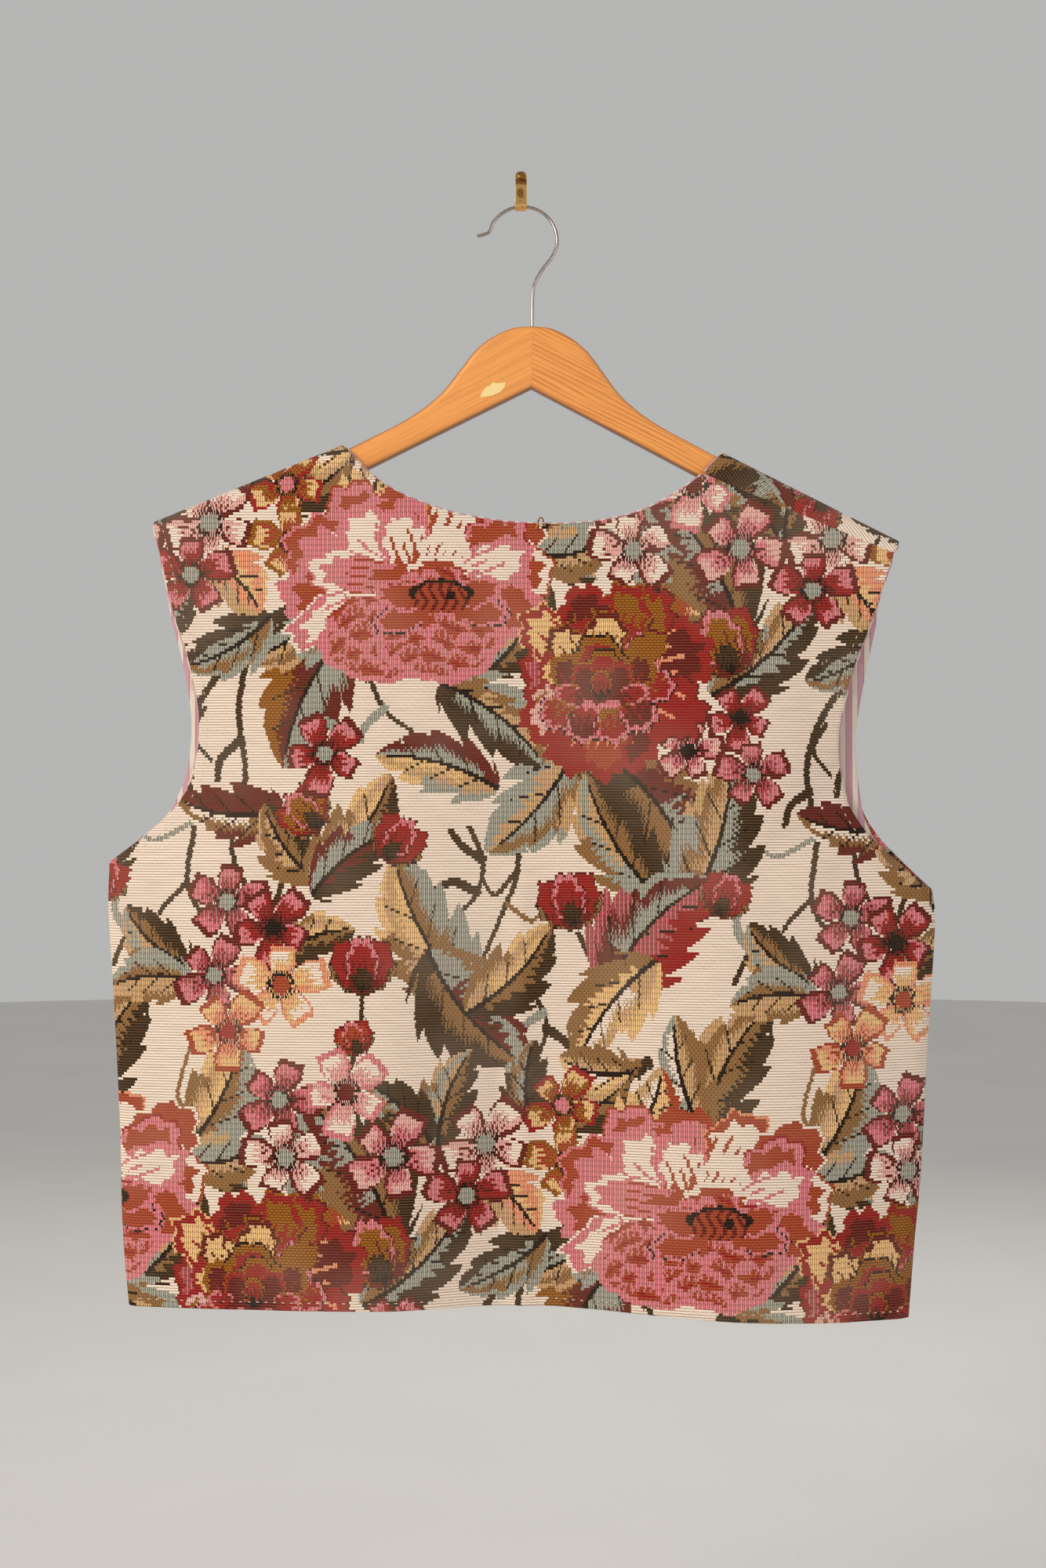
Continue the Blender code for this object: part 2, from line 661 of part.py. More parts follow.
def add_wire_hook(collection):
    """Shank, swan neck, arch over the wall hook, and the tip turned out."""
    steel = make_material("steel_wire", (0.62, 0.6, 0.57), 0.3, 1.0)
    cx, cz = WIRE_ARC
    angles = np.linspace(WIRE_ARC_FROM, WIRE_ARC_TO, 15)
    arch = [(cx + WIRE_ARC_RADIUS * math.cos(a), cz + WIRE_ARC_RADIUS * math.sin(a)) for a in angles]
    shank = [(7.0, HANGER_TOP - WIRE_BORE_DEPTH + 4.0), (7.0, -95.0), (7.1, -80.0)]
    swan_neck = [(7.5, -67.5), (9.6, -60.0), (14.0, -52.2), (19.3, -45.2)]
    tip = [(-19.3, -27.4), (-21.6, -29.6), (-27.8, -31.4)]
    flat = spline_through(shank + swan_neck + arch + tip, 1)
    crest = cz + WIRE_ARC_RADIUS

    def lean(z):
        share = min(1.0, max(0.0, (crest - z) / (crest - HANGER_TOP - 8.0)))
        return WIRE_CREST_Y + share * (HANGER_Y - WIRE_CREST_Y)

    points = [(x, lean(z), z) for x, z in flat]
    add_wire(collection, "hanger_hook", points, WIRE, steel)


def add_neck_loop(collection):
    """The brass wire loop that stands over the back's neckline, one leg on each side of the cloth."""
    brass = make_material("loop_brass", (0.62, 0.38, 0.12), 0.35, 1.0)
    rim_z = BACK_NECK[4].z
    middle = section_value("valley", rim_z)
    outer = middle - TAPESTRY / 2 - LOOP_WIRE / 2 - 0.8
    inner = middle + TAPESTRY / 2 + SEAM + LINING + LOOP_WIRE / 2 + 0.8
    route = [
        (LOOP_X - 2.4, outer, rim_z - 3.2),
        (LOOP_X - 1.6, outer, rim_z - 0.8),
        (LOOP_X - 0.9, outer, rim_z + 1.6),
        (LOOP_X + 0.2, middle - 1.2, rim_z + 3.9),
        (LOOP_X + 1.7, middle + 1.0, rim_z + 4.0),
        (LOOP_X + 2.3, inner, rim_z + 2.0),
        (LOOP_X + 1.4, inner, rim_z - 0.6),
        (LOOP_X + 0.3, inner, rim_z - 3.0),
    ]
    add_wire(collection, "neck_loop", spline_through(route, 2), LOOP_WIRE, brass)


# Wall hook


def strip_profile():
    """The bent strip from its flap, round the top, down the wall, through the cradle and up the lip."""
    back = -STRIP / 2
    flap = [FLAP_FOOT, (-4.1, 7.6), FLAP_TOP]
    turn = [(-1.7, STRIP_TOP - 0.5), (-1.0, STRIP_TOP - 0.25), (back, STRIP_TOP - 1.0)]
    wall = [(back, 6.0), (back, 0.5), (back, CRADLE_Z)]
    centre = back - CRADLE_RADIUS
    cradle = []
    for step in range(1, 9):
        angle = -math.pi * step / 8
        cradle.append((centre + CRADLE_RADIUS * math.cos(angle), CRADLE_Z + CRADLE_RADIUS * math.sin(angle)))
    lip = [(centre - CRADLE_RADIUS - 0.1, CRADLE_Z / 2), (centre - CRADLE_RADIUS - 0.2, LIP_TOP)]
    return flap + turn + wall + cradle + lip


def strip_half_width(z):
    """Half the strip's width, rounded off at its top."""
    half = STRIP_WIDTH / 2
    over = max(0.0, z - (STRIP_TOP - half))
    return math.sqrt(max(0.6, half * half - over * over))


def add_wall_hook(collection):
    brass = make_material("wall_brass", (0.66, 0.42, 0.14), 0.3, 1.0)
    profile = strip_profile()
    mesh = bmesh.new()
    rows = []
    for y, z in profile:
        half = strip_half_width(z)
        rows.append([mesh.verts.new(Vector(to_metres((x, y, z)))) for x in (-half, half)])
    for (a, b), (c, d) in zip(rows[:-1], rows[1:]):
        mesh.faces.new((a, b, d, c))
    data = bpy.data.meshes.new("wall_hook")
    mesh.to_mesh(data)
    mesh.free()
    hook = add_object(collection, "wall_hook", data, brass)
    wall = hook.modifiers.new("Strip", "SOLIDIFY")
    wall.thickness = STRIP * MILLIMETRE
    wall.offset = 0.0
    wall.use_even_offset = True


def add_wall_pin(collection):
    """The head of the nail, on the flap."""
    brass = make_material("pin_brass", (0.42, 0.27, 0.12), 0.45, 1.0)
    foot, top = np.array(FLAP_FOOT), np.array(FLAP_TOP)
    along = (top - foot) / np.linalg.norm(top - foot)
    out = np.array([-along[1], along[0]])
    middle = (foot + top) / 2 + out * (STRIP / 2 + SEAM)
    rim = PIN_HEAD / 2
    profile = [(0.0, 1.5), (1.5, 1.25), (rim - 0.35, 0.75), (rim, 0.3), (rim, 0.0), (0.0, 0.0)]
    data = bpy.data.meshes.new("wall_pin")
    mesh = bmesh.new()
    corners = [mesh.verts.new(Vector(to_metres((radius, 0.0, height)))) for radius, height in profile]
    for first, second in zip(corners[:-1], corners[1:]):
        mesh.edges.new((first, second))
    mesh.to_mesh(data)
    mesh.free()
    pin = add_object(collection, "wall_pin", data, brass)
    turn = pin.modifiers.new("Turned", "SCREW")
    turn.steps = 14
    turn.render_steps = 14
    turn.use_merge_vertices = True
    turn.merge_threshold = 0.00001
    pin.location = to_metres((0.0, middle[0], middle[1]))
    pin.rotation_euler = (math.atan2(-out[0], out[1]), 0.0, 0.0)


def main():
    clear_scene()
    part = bpy.data.collections.new(PART_NAME)
    cutters = bpy.data.collections.new("cutters")
    bpy.context.scene.collection.children.link(part)
    bpy.context.scene.collection.children.link(cutters)
    add_panels(part)
    add_hanger(part, cutters)
    add_wire_hook(part)
    add_wall_hook(part)
    add_wall_pin(part)
    add_neck_loop(part)


main()
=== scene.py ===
"""The looks of a tapestry waistcoat on its wooden hanger: cloth, lining, wood, wire and brass.

Metres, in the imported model's own frame: +X right as one faces the waistcoat, whose back is the side
that shows, +Y into the wall and +Z up. Lengths in the constants and tables are millimetres.

Each panel is a net of cells laid square to its cut, three warp ends wide and one rib of the weft
high. The pattern is painted end by end as a number of a yarn, motif over motif, in the flat. Then the
net is draped over the hanger's arms as the cloth is.
"""

import math
from collections import namedtuple

import bmesh
import bpy
import numpy as np
from mathutils import Matrix, Vector


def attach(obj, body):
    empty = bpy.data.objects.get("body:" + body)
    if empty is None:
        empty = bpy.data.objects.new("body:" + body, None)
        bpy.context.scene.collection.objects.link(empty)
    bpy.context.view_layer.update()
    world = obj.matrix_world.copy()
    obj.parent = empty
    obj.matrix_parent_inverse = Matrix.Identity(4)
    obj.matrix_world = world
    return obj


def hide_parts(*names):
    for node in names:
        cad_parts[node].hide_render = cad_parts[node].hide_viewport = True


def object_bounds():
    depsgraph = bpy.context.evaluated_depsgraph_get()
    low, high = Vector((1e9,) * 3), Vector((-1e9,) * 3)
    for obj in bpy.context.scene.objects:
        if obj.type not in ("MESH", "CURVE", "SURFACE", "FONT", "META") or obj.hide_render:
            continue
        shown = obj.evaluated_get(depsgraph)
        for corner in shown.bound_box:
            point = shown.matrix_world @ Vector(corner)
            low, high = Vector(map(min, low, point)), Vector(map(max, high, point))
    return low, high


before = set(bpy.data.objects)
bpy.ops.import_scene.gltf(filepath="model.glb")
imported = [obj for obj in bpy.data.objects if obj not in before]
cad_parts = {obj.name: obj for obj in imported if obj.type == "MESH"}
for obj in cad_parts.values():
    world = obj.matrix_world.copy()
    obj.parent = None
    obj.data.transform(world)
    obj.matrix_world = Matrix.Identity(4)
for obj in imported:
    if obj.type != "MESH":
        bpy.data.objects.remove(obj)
CAD_BOX = [list(corner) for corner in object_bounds()]
MILLIMETRE = 0.001

# Cloth
TAPESTRY, LINING = 1.4, 0.5  # thickness
LINING_GAP = 0.45
SEAM = 0.3
RIB = 1.70  # from one weft rib to the next
STRAND = 1.32  # from one warp strand to the next
STITCH = 1.98  # width of a cell of the net, a strand and a half
ENDS_IN_STITCH = 3  # warp ends in a cell, each of which shows a yarn of its own
LINING_CELL, LINING_STRIPE = 4.0, 7.6
TURNED_IN = 8.0  # the cloth folded in behind each edge


# Curves


def smoothstep(value):
    t = np.clip(value, 0.0, 1.0)
    return t * t * (3 - 2 * t)


def spline_through(points, steps=10):
    """Points along a smooth curve through the given ones."""
    p = np.array(points, float)
    p = np.vstack([2 * p[0] - p[1], p, 2 * p[-1] - p[-2]])
    line = []
    for a, b, c, d in zip(p[:-3], p[1:-2], p[2:-1], p[3:]):
        for k in range(steps):
            t = k / steps
            straight_on = 2 * b + (c - a) * t
            bend = (2 * a - 5 * b + 4 * c - d) * t**2 + (3 * b - a - 3 * c + d) * t**3
            line.append(0.5 * (straight_on + bend))
    line.append(p[-2])
    return np.array(line)


def evened(line, step):
    """A line with points about one step apart."""
    run = np.concatenate([[0.0], np.cumsum(np.linalg.norm(np.diff(line, axis=0), axis=1))])
    along = np.linspace(0, run[-1], max(2, int(run[-1] / step) + 1))
    return np.column_stack([np.interp(along, run, line[:, k]) for k in range(line.shape[1])])


def moved_out(line, distance):
    """A flat line moved square to itself, to its left; the distance may change along it."""
    ahead = np.gradient(line, axis=0)
    ahead /= np.maximum(np.linalg.norm(ahead, axis=1, keepdims=True), 1e-9)
    return line + np.column_stack([-ahead[:, 1], ahead[:, 0]]) * np.reshape(distance, (-1, 1))


# The cut of the panels and how they hang, as in the CAD

HANGER_Y = -13.0
ROLL = 9.1
NEAR_Y, FAR_Y = HANGER_Y - ROLL, HANGER_Y + ROLL

Fold = namedtuple("Fold", "neck_x neck_z tip_x tip_z")
LEFT_FOLD = Fold(-115.5, -166.2, -229.3, -212.7)
RIGHT_FOLD = Fold(126.8, -169.8, 236.7, -225.0)
LEFT_NECK_FOOT, RIGHT_NECK_FOOT, RIGHT_TIP_FOOT = -113.0, 122.0, 236.5
SEAM_DROP_NECK, SEAM_DROP_TIP = 18.0, 9.0

LEFT_ARMHOLE = [(-225.6, -229.9), (-216.8, -269.1), (-207.5, -299.0), (-201.2, -333.3), (-203.1, -361.0)]
LEFT_ARMHOLE += [(-209.5, -381.2), (-221.5, -397.5), (-236.5, -410.0), (-258.3, -426.2)]
RIGHT_ARMHOLE = [(226.6, -249.5), (218.0, -276.0), (206.8, -307.3), (198.8, -342.0), (199.7, -368.6)]
RIGHT_ARMHOLE += [(205.5, -391.0), (217.5, -408.5), (236.5, -426.0), (258.3, -443.5)]
LEFT_SIDE = [(-259.0, -455.0), (-255.5, -515.0), (-251.8, -590.0), (-250.0, -655.0), (-246.0, -703.9)]
RIGHT_SIDE = [(259.8, -468.0), (255.0, -545.0), (251.0, -620.0), (246.8, -665.0), (243.1, -711.6)]
FRONT_SHOWS_LEFT, FRONT_SHOWS_RIGHT = 5.6, 11.5
BACK_NECK = [(-95.5, -182.4), (-75.9, -195.6), (-46.4, -206.8), (-16.9, -212.6), (12.5, -214.8)]
BACK_NECK += [(42.0, -213.9), (71.5, -208.0), (95.0, -196.8)]
FRONT_NECK = [(101.0, -199.0), (92.0, -214.0), (70.0, -236.0), (36.0, -251.0)]
CENTRE_TOP, CENTRE_FOOT = (2.0, -256.0), (-2.0, -698.0)
HEM_RISE, FRONT_HEM_SAG = 4.0, 3.0
FRONT_LEFT_PRINT, FRONT_RIGHT_PRINT = (96.0, -140.0), (-70.0, -262.0)  # where their pattern was cut from

Section = namedtuple("Section", "z seam lobe_left valley lobe_right front_seam front_full front_centre")
SECTIONS = [
    Section(-180.0, NEAR_Y, NEAR_Y, -21.5, NEAR_Y, FAR_Y, FAR_Y, -5.0),
    Section(-260.0, -21.0, -23.5, -21.0, -24.5, -4.2, -3.8, -5.0),
    Section(-340.0, -18.0, -26.0, -23.0, -28.5, -4.8, -3.6, -4.6),
    Section(-400.0, -14.0, -27.5, -23.5, -31.5, -6.8, -3.4, -4.2),
    Section(-435.0, -10.85, -26.0, -20.0, -30.5, -9.15, -5.9, -6.5),
    Section(-520.0, -10.85, -28.0, -16.0, -34.5, -9.15, -5.7, -6.3),
    Section(-620.0, -11.35, -30.0, -12.0, -38.5, -9.65, -5.5, -6.1),
    Section(-716.0, -12.35, -31.5, -10.0, -41.5, -10.65, -5.5, -5.9),
]
LOBE_LEFT_X, VALLEY_X, LOBE_RIGHT_X, FRONT_FULL_X = -92.0, 1.0, 138.0, 125.0
LEDGE, LEDGE_BLEND = 14.0, 70.0
SEAM_ROLL, SEAM_ROLL_WIDTH, UNDERARM_Z = 2.5, 9.0, -430.0
PROBES = np.array([[0.2, 0.0], [0.0, 0.2]])  # small steps across and up, to find a normal


def fold_normal(fold):
    along = np.array([fold.tip_x - fold.neck_x, fold.tip_z - fold.neck_z])
    along /= np.linalg.norm(along)
    normal = np.array([-along[1], along[0]])
    return normal if normal[1] > 0 else -normal


def crest_point(fold, x):
    share = (x - fold.neck_x) / (fold.tip_x - fold.neck_x)
    return np.array([x, fold.neck_z + share * (fold.tip_z - fold.neck_z)])


def below_crest(fold, x, drop):
    return crest_point(fold, x) - fold_normal(fold) * drop


def past_crest(fold, x, length):
    """The flat place of a point this far past the top of the roll, measured along the cloth."""
    return crest_point(fold, x) + fold_normal(fold) * (math.pi * ROLL / 2 - ROLL + length)


def front_armhole(points, shows):
    """The back's armhole moved outwards, most of all halfway down."""
    top, foot = points[0][1], points[-1][1]
    sign = math.copysign(1.0, points[0][0])
    return [(x + sign * shows * math.sin(math.pi * min(1.0, (top - z) / (top - foot))), z) for x, z in points]


LEFT_NEAR = LEFT_ARMHOLE + LEFT_SIDE
RIGHT_NEAR = RIGHT_ARMHOLE + RIGHT_SIDE
LEFT_FAR = front_armhole(LEFT_ARMHOLE, FRONT_SHOWS_LEFT) + LEFT_SIDE
RIGHT_FAR = front_armhole(RIGHT_ARMHOLE, FRONT_SHOWS_RIGHT) + RIGHT_SIDE
LEFT_SEAM = spline_through([LEFT_ARMHOLE[-1]] + LEFT_SIDE)
RIGHT_SEAM = spline_through([RIGHT_ARMHOLE[-1]] + RIGHT_SIDE)[::-1]
LEFT_TIP, LEFT_NECK = (past_crest(LEFT_FOLD, x, -SEAM / 2) for x in (LEFT_FOLD.tip_x, LEFT_NECK_FOOT))


def section_value(name, z):
    return np.interp(-z, [-row.z for row in SECTIONS], [getattr(row, name) for row in SECTIONS])


def edge_x(points, z):
    return np.interp(-z, [-p[1] for p in points], [p[0] for p in points])


def seam_roll(x, z, left, right):
    """How far the cloth turns in towards its side seams, below the armholes."""
    gap = np.clip(np.minimum(x - left, right - x) / SEAM_ROLL_WIDTH, 0, 1)
    below = smoothstep((UNDERARM_Z + 20.0 - z) / 30.0)
    return SEAM_ROLL * below * (1 - (1 - gap) ** 2)


def soft(t):
    return 0.5 - 0.5 * np.cos(math.pi * t)


def rising(t):
    return np.sin(t * math.pi / 2)


def falling(t):
    return 1 - np.cos(t * math.pi / 2)


def across_body(x, places, depths):
    """A depth that rises from one seam, sways from place to place and falls to the other seam."""
    runs = []
    for number, ease in enumerate((rising, soft, soft, falling)):
        start, end = places[number : number + 2]
        t = np.clip((x - start) / (end - start), 0, 1)
        runs.append(depths[number] + (depths[number + 1] - depths[number]) * ease(t))
    return np.select([x < place for place in places[1:-1]], runs[:-1], runs[-1])


def back_depth(x, z):
    left, right = edge_x(LEFT_NEAR, z), edge_x(RIGHT_NEAR, z)
    names = ("seam", "lobe_left", "valley", "lobe_right", "seam")
    depths = [section_value(name, z) for name in names]
    y = across_body(x, [left, LOBE_LEFT_X, VALLEY_X, LOBE_RIGHT_X, right], depths)
    return y - seam_roll(x, z, left, right)


def front_depth(x, z):
    left, right = edge_x(LEFT_FAR, z), edge_x(RIGHT_FAR, z)
    names = ("front_seam", "front_full", "front_centre", "front_full", "front_seam")
    depths = [section_value(name, z) for name in names]
    y = across_body(x, [left, -FRONT_FULL_X, 0.0, FRONT_FULL_X, right], depths)
    return y + seam_roll(x, z, left, right)


def drape(panel, flat):
    """Where points of a flat cut lie: rolled over the arms, and by their depth below them."""
    left = flat[:, 0] < 0
    normals = np.where(left[:, None], fold_normal(LEFT_FOLD), fold_normal(RIGHT_FOLD))
    starts = np.where(left[:, None], LEFT_FOLD[:2], RIGHT_FOLD[:2])
    rise = ((flat - starts) * normals).sum(axis=1) + ROLL
    side = -1.0 if panel.near else 1.0
    hang = smoothstep((-rise - LEDGE) / LEDGE_BLEND)
    plane = HANGER_Y + side * ROLL
    hanging_y = plane + hang * (panel.depth(flat[:, 0], flat[:, 1]) - plane)
    rolled_y = HANGER_Y + side * ROLL * np.cos(rise / ROLL)
    over = rise >= math.pi * ROLL
    height = np.where(over, math.pi * ROLL - rise, ROLL * np.sin(rise / ROLL))
    y = np.where(rise <= 0, hanging_y, np.where(over, HANGER_Y - side * ROLL, rolled_y))
    shift = np.where(rise <= 0, 0.0, rise - height)
    place = flat - normals * shift[:, None]
    return np.column_stack([place[:, 0], y, place[:, 1]])


Crease = namedtuple("Crease", "start end width height")
BACK_CREASES = [
    Crease((-203, -366), (-150, -420), 16, -1.2),
    Crease((-206, -382), (-168, -438), 12, 1.0),
    Crease((201, -372), (150, -430), 16, -1.3),
    Crease((206, -392), (172, -446), 12, 1.0),
    Crease((-106, -196), (-132, -262), 14, -1.1),
    Crease((118, -205), (146, -280), 16, -1.2),
    Crease((0, -440), (2, -720), 8, 2.2),
    Crease((-12, -520), (-16, -720), 7, -0.9),
    Crease((18, -560), (22, -720), 9, -0.8),
    Crease((-160, -640), (-168, -720), 16, -0.9),
    Crease((96, -650), (100, -720), 18, -0.9),
    Crease((188, -640), (196, -720), 14, 0.8),
]
FRONT_CREASES = [
    Crease((-200, -370), (-140, -440), 16, -1.0),
    Crease((200, -376), (140, -446), 16, -1.0),
    Crease((-60, -560), (-66, -710), 18, -0.8),
    Crease((74, -540), (80, -710), 18, -0.8),
]


def creased(flat, creases):
    """How far soft ridges (+) and troughs (-) lift the cloth off its smooth lie."""
    lift = np.zeros(len(flat))
    for crease in creases:
        start, end = np.array(crease.start, float), np.array(crease.end, float)
        run = end - start
        share = ((flat - start) @ run) / (run @ run)
        away = np.linalg.norm(flat - start - np.clip(share, 0, 1)[:, None] * run, axis=1) / crease.width
        fade = smoothstep((share + 0.35) / 0.5) * smoothstep((1.35 - share) / 0.5)
        lift += crease.height * fade * np.exp(-away * away)
    return lift


Panel = namedtuple("Panel", "name near depth creases edges print_shift")
Edge = namedtuple("Edge", "kind line")  # kind is seam, open or hem; the edges run anticlockwise


def cloth_points(panel, flat, off):
    """Points this far off the middle of the draped cloth, towards its face."""
    right, rise = (drape(panel, flat + step) - drape(panel, flat - step) for step in PROBES)
    normals = np.cross(right, rise) if panel.near else np.cross(rise, right)
    normals /= np.linalg.norm(normals, axis=1, keepdims=True)
    return drape(panel, flat) + normals * (off + creased(flat, panel.creases))[:, None]


def hem_line(start, end, rise):
    shares = np.linspace(0, 1, 25)
    line = np.outer(1 - shares, start) + np.outer(shares, end)
    line[:, 1] += rise * np.sin(math.pi * shares)
    return line


def back_panel():
    """The back, cut in one piece; its right shoulder seam has slid down over the near side."""
    neck_right = below_crest(RIGHT_FOLD, RIGHT_NECK_FOOT, SEAM_DROP_NECK)
    tip_right = below_crest(RIGHT_FOLD, RIGHT_TIP_FOOT, SEAM_DROP_TIP)
    edges = [
        Edge("open", spline_through([tuple(LEFT_TIP)] + LEFT_ARMHOLE)),
        Edge("seam", LEFT_SEAM),
        Edge("hem", hem_line(LEFT_SIDE[-1], RIGHT_SIDE[-1], HEM_RISE)),
        Edge("seam", RIGHT_SEAM),
        Edge("open", spline_through([tuple(tip_right)] + RIGHT_ARMHOLE)[::-1]),
        Edge("seam", np.array([tip_right, neck_right])),
        Edge("open", spline_through([tuple(LEFT_NECK)] + BACK_NECK + [tuple(neck_right)])[::-1]),
        Edge("seam", np.array([LEFT_NECK, LEFT_TIP])),
    ]
    return Panel("back", True, back_depth, BACK_CREASES, edges, (0.0, 0.0))


def centre_edge(side):
    """The top and foot of a front's middle edge, half a seam to one side."""
    return [(x + side * SEAM / 2, z) for x, z in (CENTRE_TOP, CENTRE_FOOT)]


def front_left_panel():
    """The front that meets the back along the top of the arm."""
    top, foot = centre_edge(-1)
    behind = below_crest(LEFT_FOLD, LEFT_NECK_FOOT, ROLL)
    scoop = [tuple(LEFT_NECK), tuple(behind)] + [(-x, z) for x, z in FRONT_NECK] + [top]
    edges = [
        Edge("open", spline_through([tuple(LEFT_TIP)] + front_armhole(LEFT_ARMHOLE, FRONT_SHOWS_LEFT))),
        Edge("seam", LEFT_SEAM),
        Edge("hem", hem_line(LEFT_SIDE[-1], foot, FRONT_HEM_SAG)),
        Edge("seam", np.array([foot, top])),
        Edge("open", spline_through(scoop)[::-1]),
        Edge("seam", np.array([LEFT_NECK, LEFT_TIP])),
    ]
    return Panel("front_left", False, front_depth, FRONT_CREASES, edges, FRONT_LEFT_PRINT)


def front_right_panel():
    """The front that comes over the shoulder to the seam on the near side."""
    over = math.pi * ROLL / 2 - ROLL - SEAM
    neck = past_crest(RIGHT_FOLD, RIGHT_NECK_FOOT, over + SEAM_DROP_NECK)
    tip = past_crest(RIGHT_FOLD, RIGHT_TIP_FOOT, over + SEAM_DROP_TIP)
    top, foot = centre_edge(1)
    crest = past_crest(RIGHT_FOLD, RIGHT_FOLD.neck_x, 0.0)
    behind = below_crest(RIGHT_FOLD, RIGHT_NECK_FOOT, ROLL)
    scoop = [tuple(neck), tuple(crest), tuple(behind)] + FRONT_NECK + [top]
    armhole = [tuple(tip), tuple(crest_point(RIGHT_FOLD, RIGHT_FOLD.tip_x))]
    armhole += front_armhole(RIGHT_ARMHOLE, FRONT_SHOWS_RIGHT)
    edges = [
        Edge("seam", np.array([top, foot])),
        Edge("hem", hem_line(foot, RIGHT_SIDE[-1], FRONT_HEM_SAG)),
        Edge("seam", RIGHT_SEAM),
        Edge("open", spline_through(armhole)[::-1]),
        Edge("seam", np.array([tip, neck])),
        Edge("open", spline_through(scoop)),
    ]
    return Panel("front_right", False, front_depth, FRONT_CREASES, edges, FRONT_RIGHT_PRINT)


# Nets of cells


def outline_of(edges, step):
    """One closed outline from a panel's edges, without doubled corners."""
    lines = [evened(edge.line, step) for edge in edges]
    outline = np.vstack(lines)
    following = np.roll(outline, -1, axis=0)
    return outline[np.linalg.norm(following - outline, axis=1) > step * 0.2]


def inside_outline(x, z, outline):
    """Which points lie inside, by how often a ray to the right crosses the outline."""
    inside = np.zeros(len(x), bool)
    for (ax, az), (bx, bz) in zip(outline, np.roll(outline, -1, axis=0)):
        if az == bz:
            continue
        level = (z > min(az, bz)) & (z <= max(az, bz))
        crossing = ax + (z[level] - az) * (bx - ax) / (bz - az)
        inside[level] ^= x[level] < crossing
    return inside


def onto_outline(points, outline):
    """Each point's closest place on the outline."""
    runs = np.roll(outline, -1, axis=0) - outline
    squares = np.maximum((runs**2).sum(axis=1), 1e-12)
    placed = np.empty_like(points)
    for k, point in enumerate(points):
        t = np.clip(((point - outline) * runs).sum(axis=1) / squares, 0, 1)
        spots = outline + runs * t[:, None]
        placed[k] = spots[((spots - point) ** 2).sum(axis=1).argmin()]
    return placed


Net = namedtuple("Net", "flat cells middles loop")


def cell_net(outline, wide, high):
    """Cells square to the cut that fill an outline, their outer corners brought onto it."""
    low, top = outline.min(axis=0), outline.max(axis=0)
    columns = np.arange(math.floor(low[0] / wide) - 1, math.ceil(top[0] / wide) + 2)
    rows = np.arange(math.floor(low[1] / high) - 1, math.ceil(top[1] / high) + 2)
    grid_x, grid_z = np.meshgrid(columns[:-1] + 0.5, rows[:-1] + 0.5)
    kept = inside_outline(grid_x.ravel() * wide, grid_z.ravel() * high, outline).reshape(grid_x.shape)
    kept = without_spurs(kept)
    row, column = np.nonzero(kept)
    across = len(columns)
    lower, upper = row * across + column, (row + 1) * across + column
    corners = np.stack([lower, lower + 1, upper + 1, upper], axis=1)
    used, cells = np.unique(corners, return_inverse=True)
    cells = cells.reshape(corners.shape)
    flat = np.column_stack([columns[used % across] * wide, rows[used // across] * high]).astype(float)
    loop = border_loop(cells)
    flat[loop] = onto_outline(flat[loop], outline)
    middles = np.column_stack([grid_x[row, column] * wide, grid_z[row, column] * high])
    return Net(flat, cells, middles, loop)


def without_spurs(kept):
    """Drops cells that hang on by one side or a corner, so that the border is one plain loop."""
    while True:
        padded = np.pad(kept, 1).astype(int)
        beside = padded[1:-1, :-2] + padded[1:-1, 2:]
        above = padded[:-2, 1:-1] + padded[2:, 1:-1]
        spurs = kept & ((beside == 0) | (above == 0))
        one, other = kept[:-1, :-1] & kept[1:, 1:], kept[:-1, 1:] & kept[1:, :-1]
        spurs[:-1, :-1] |= one & ~kept[:-1, 1:] & ~kept[1:, :-1]
        spurs[:-1, 1:] |= other & ~kept[:-1, :-1] & ~kept[1:, 1:]
        if not spurs.any():
            return kept
        kept = kept & ~spurs


def border_loop(cells):
    """The corners round a net's border, in order, with the cells on their left."""
    sides = dict.fromkeys(side for cell in cells for side in zip(cell, np.roll(cell, -1)))
    following = {a: b for a, b in sides if (b, a) not in sides}
    start = next(iter(following))
    loop, at = [start], following[start]
    while at != start:
        loop.append(at)
        at = following[at]
    return np.array(loop)


# The woven pattern

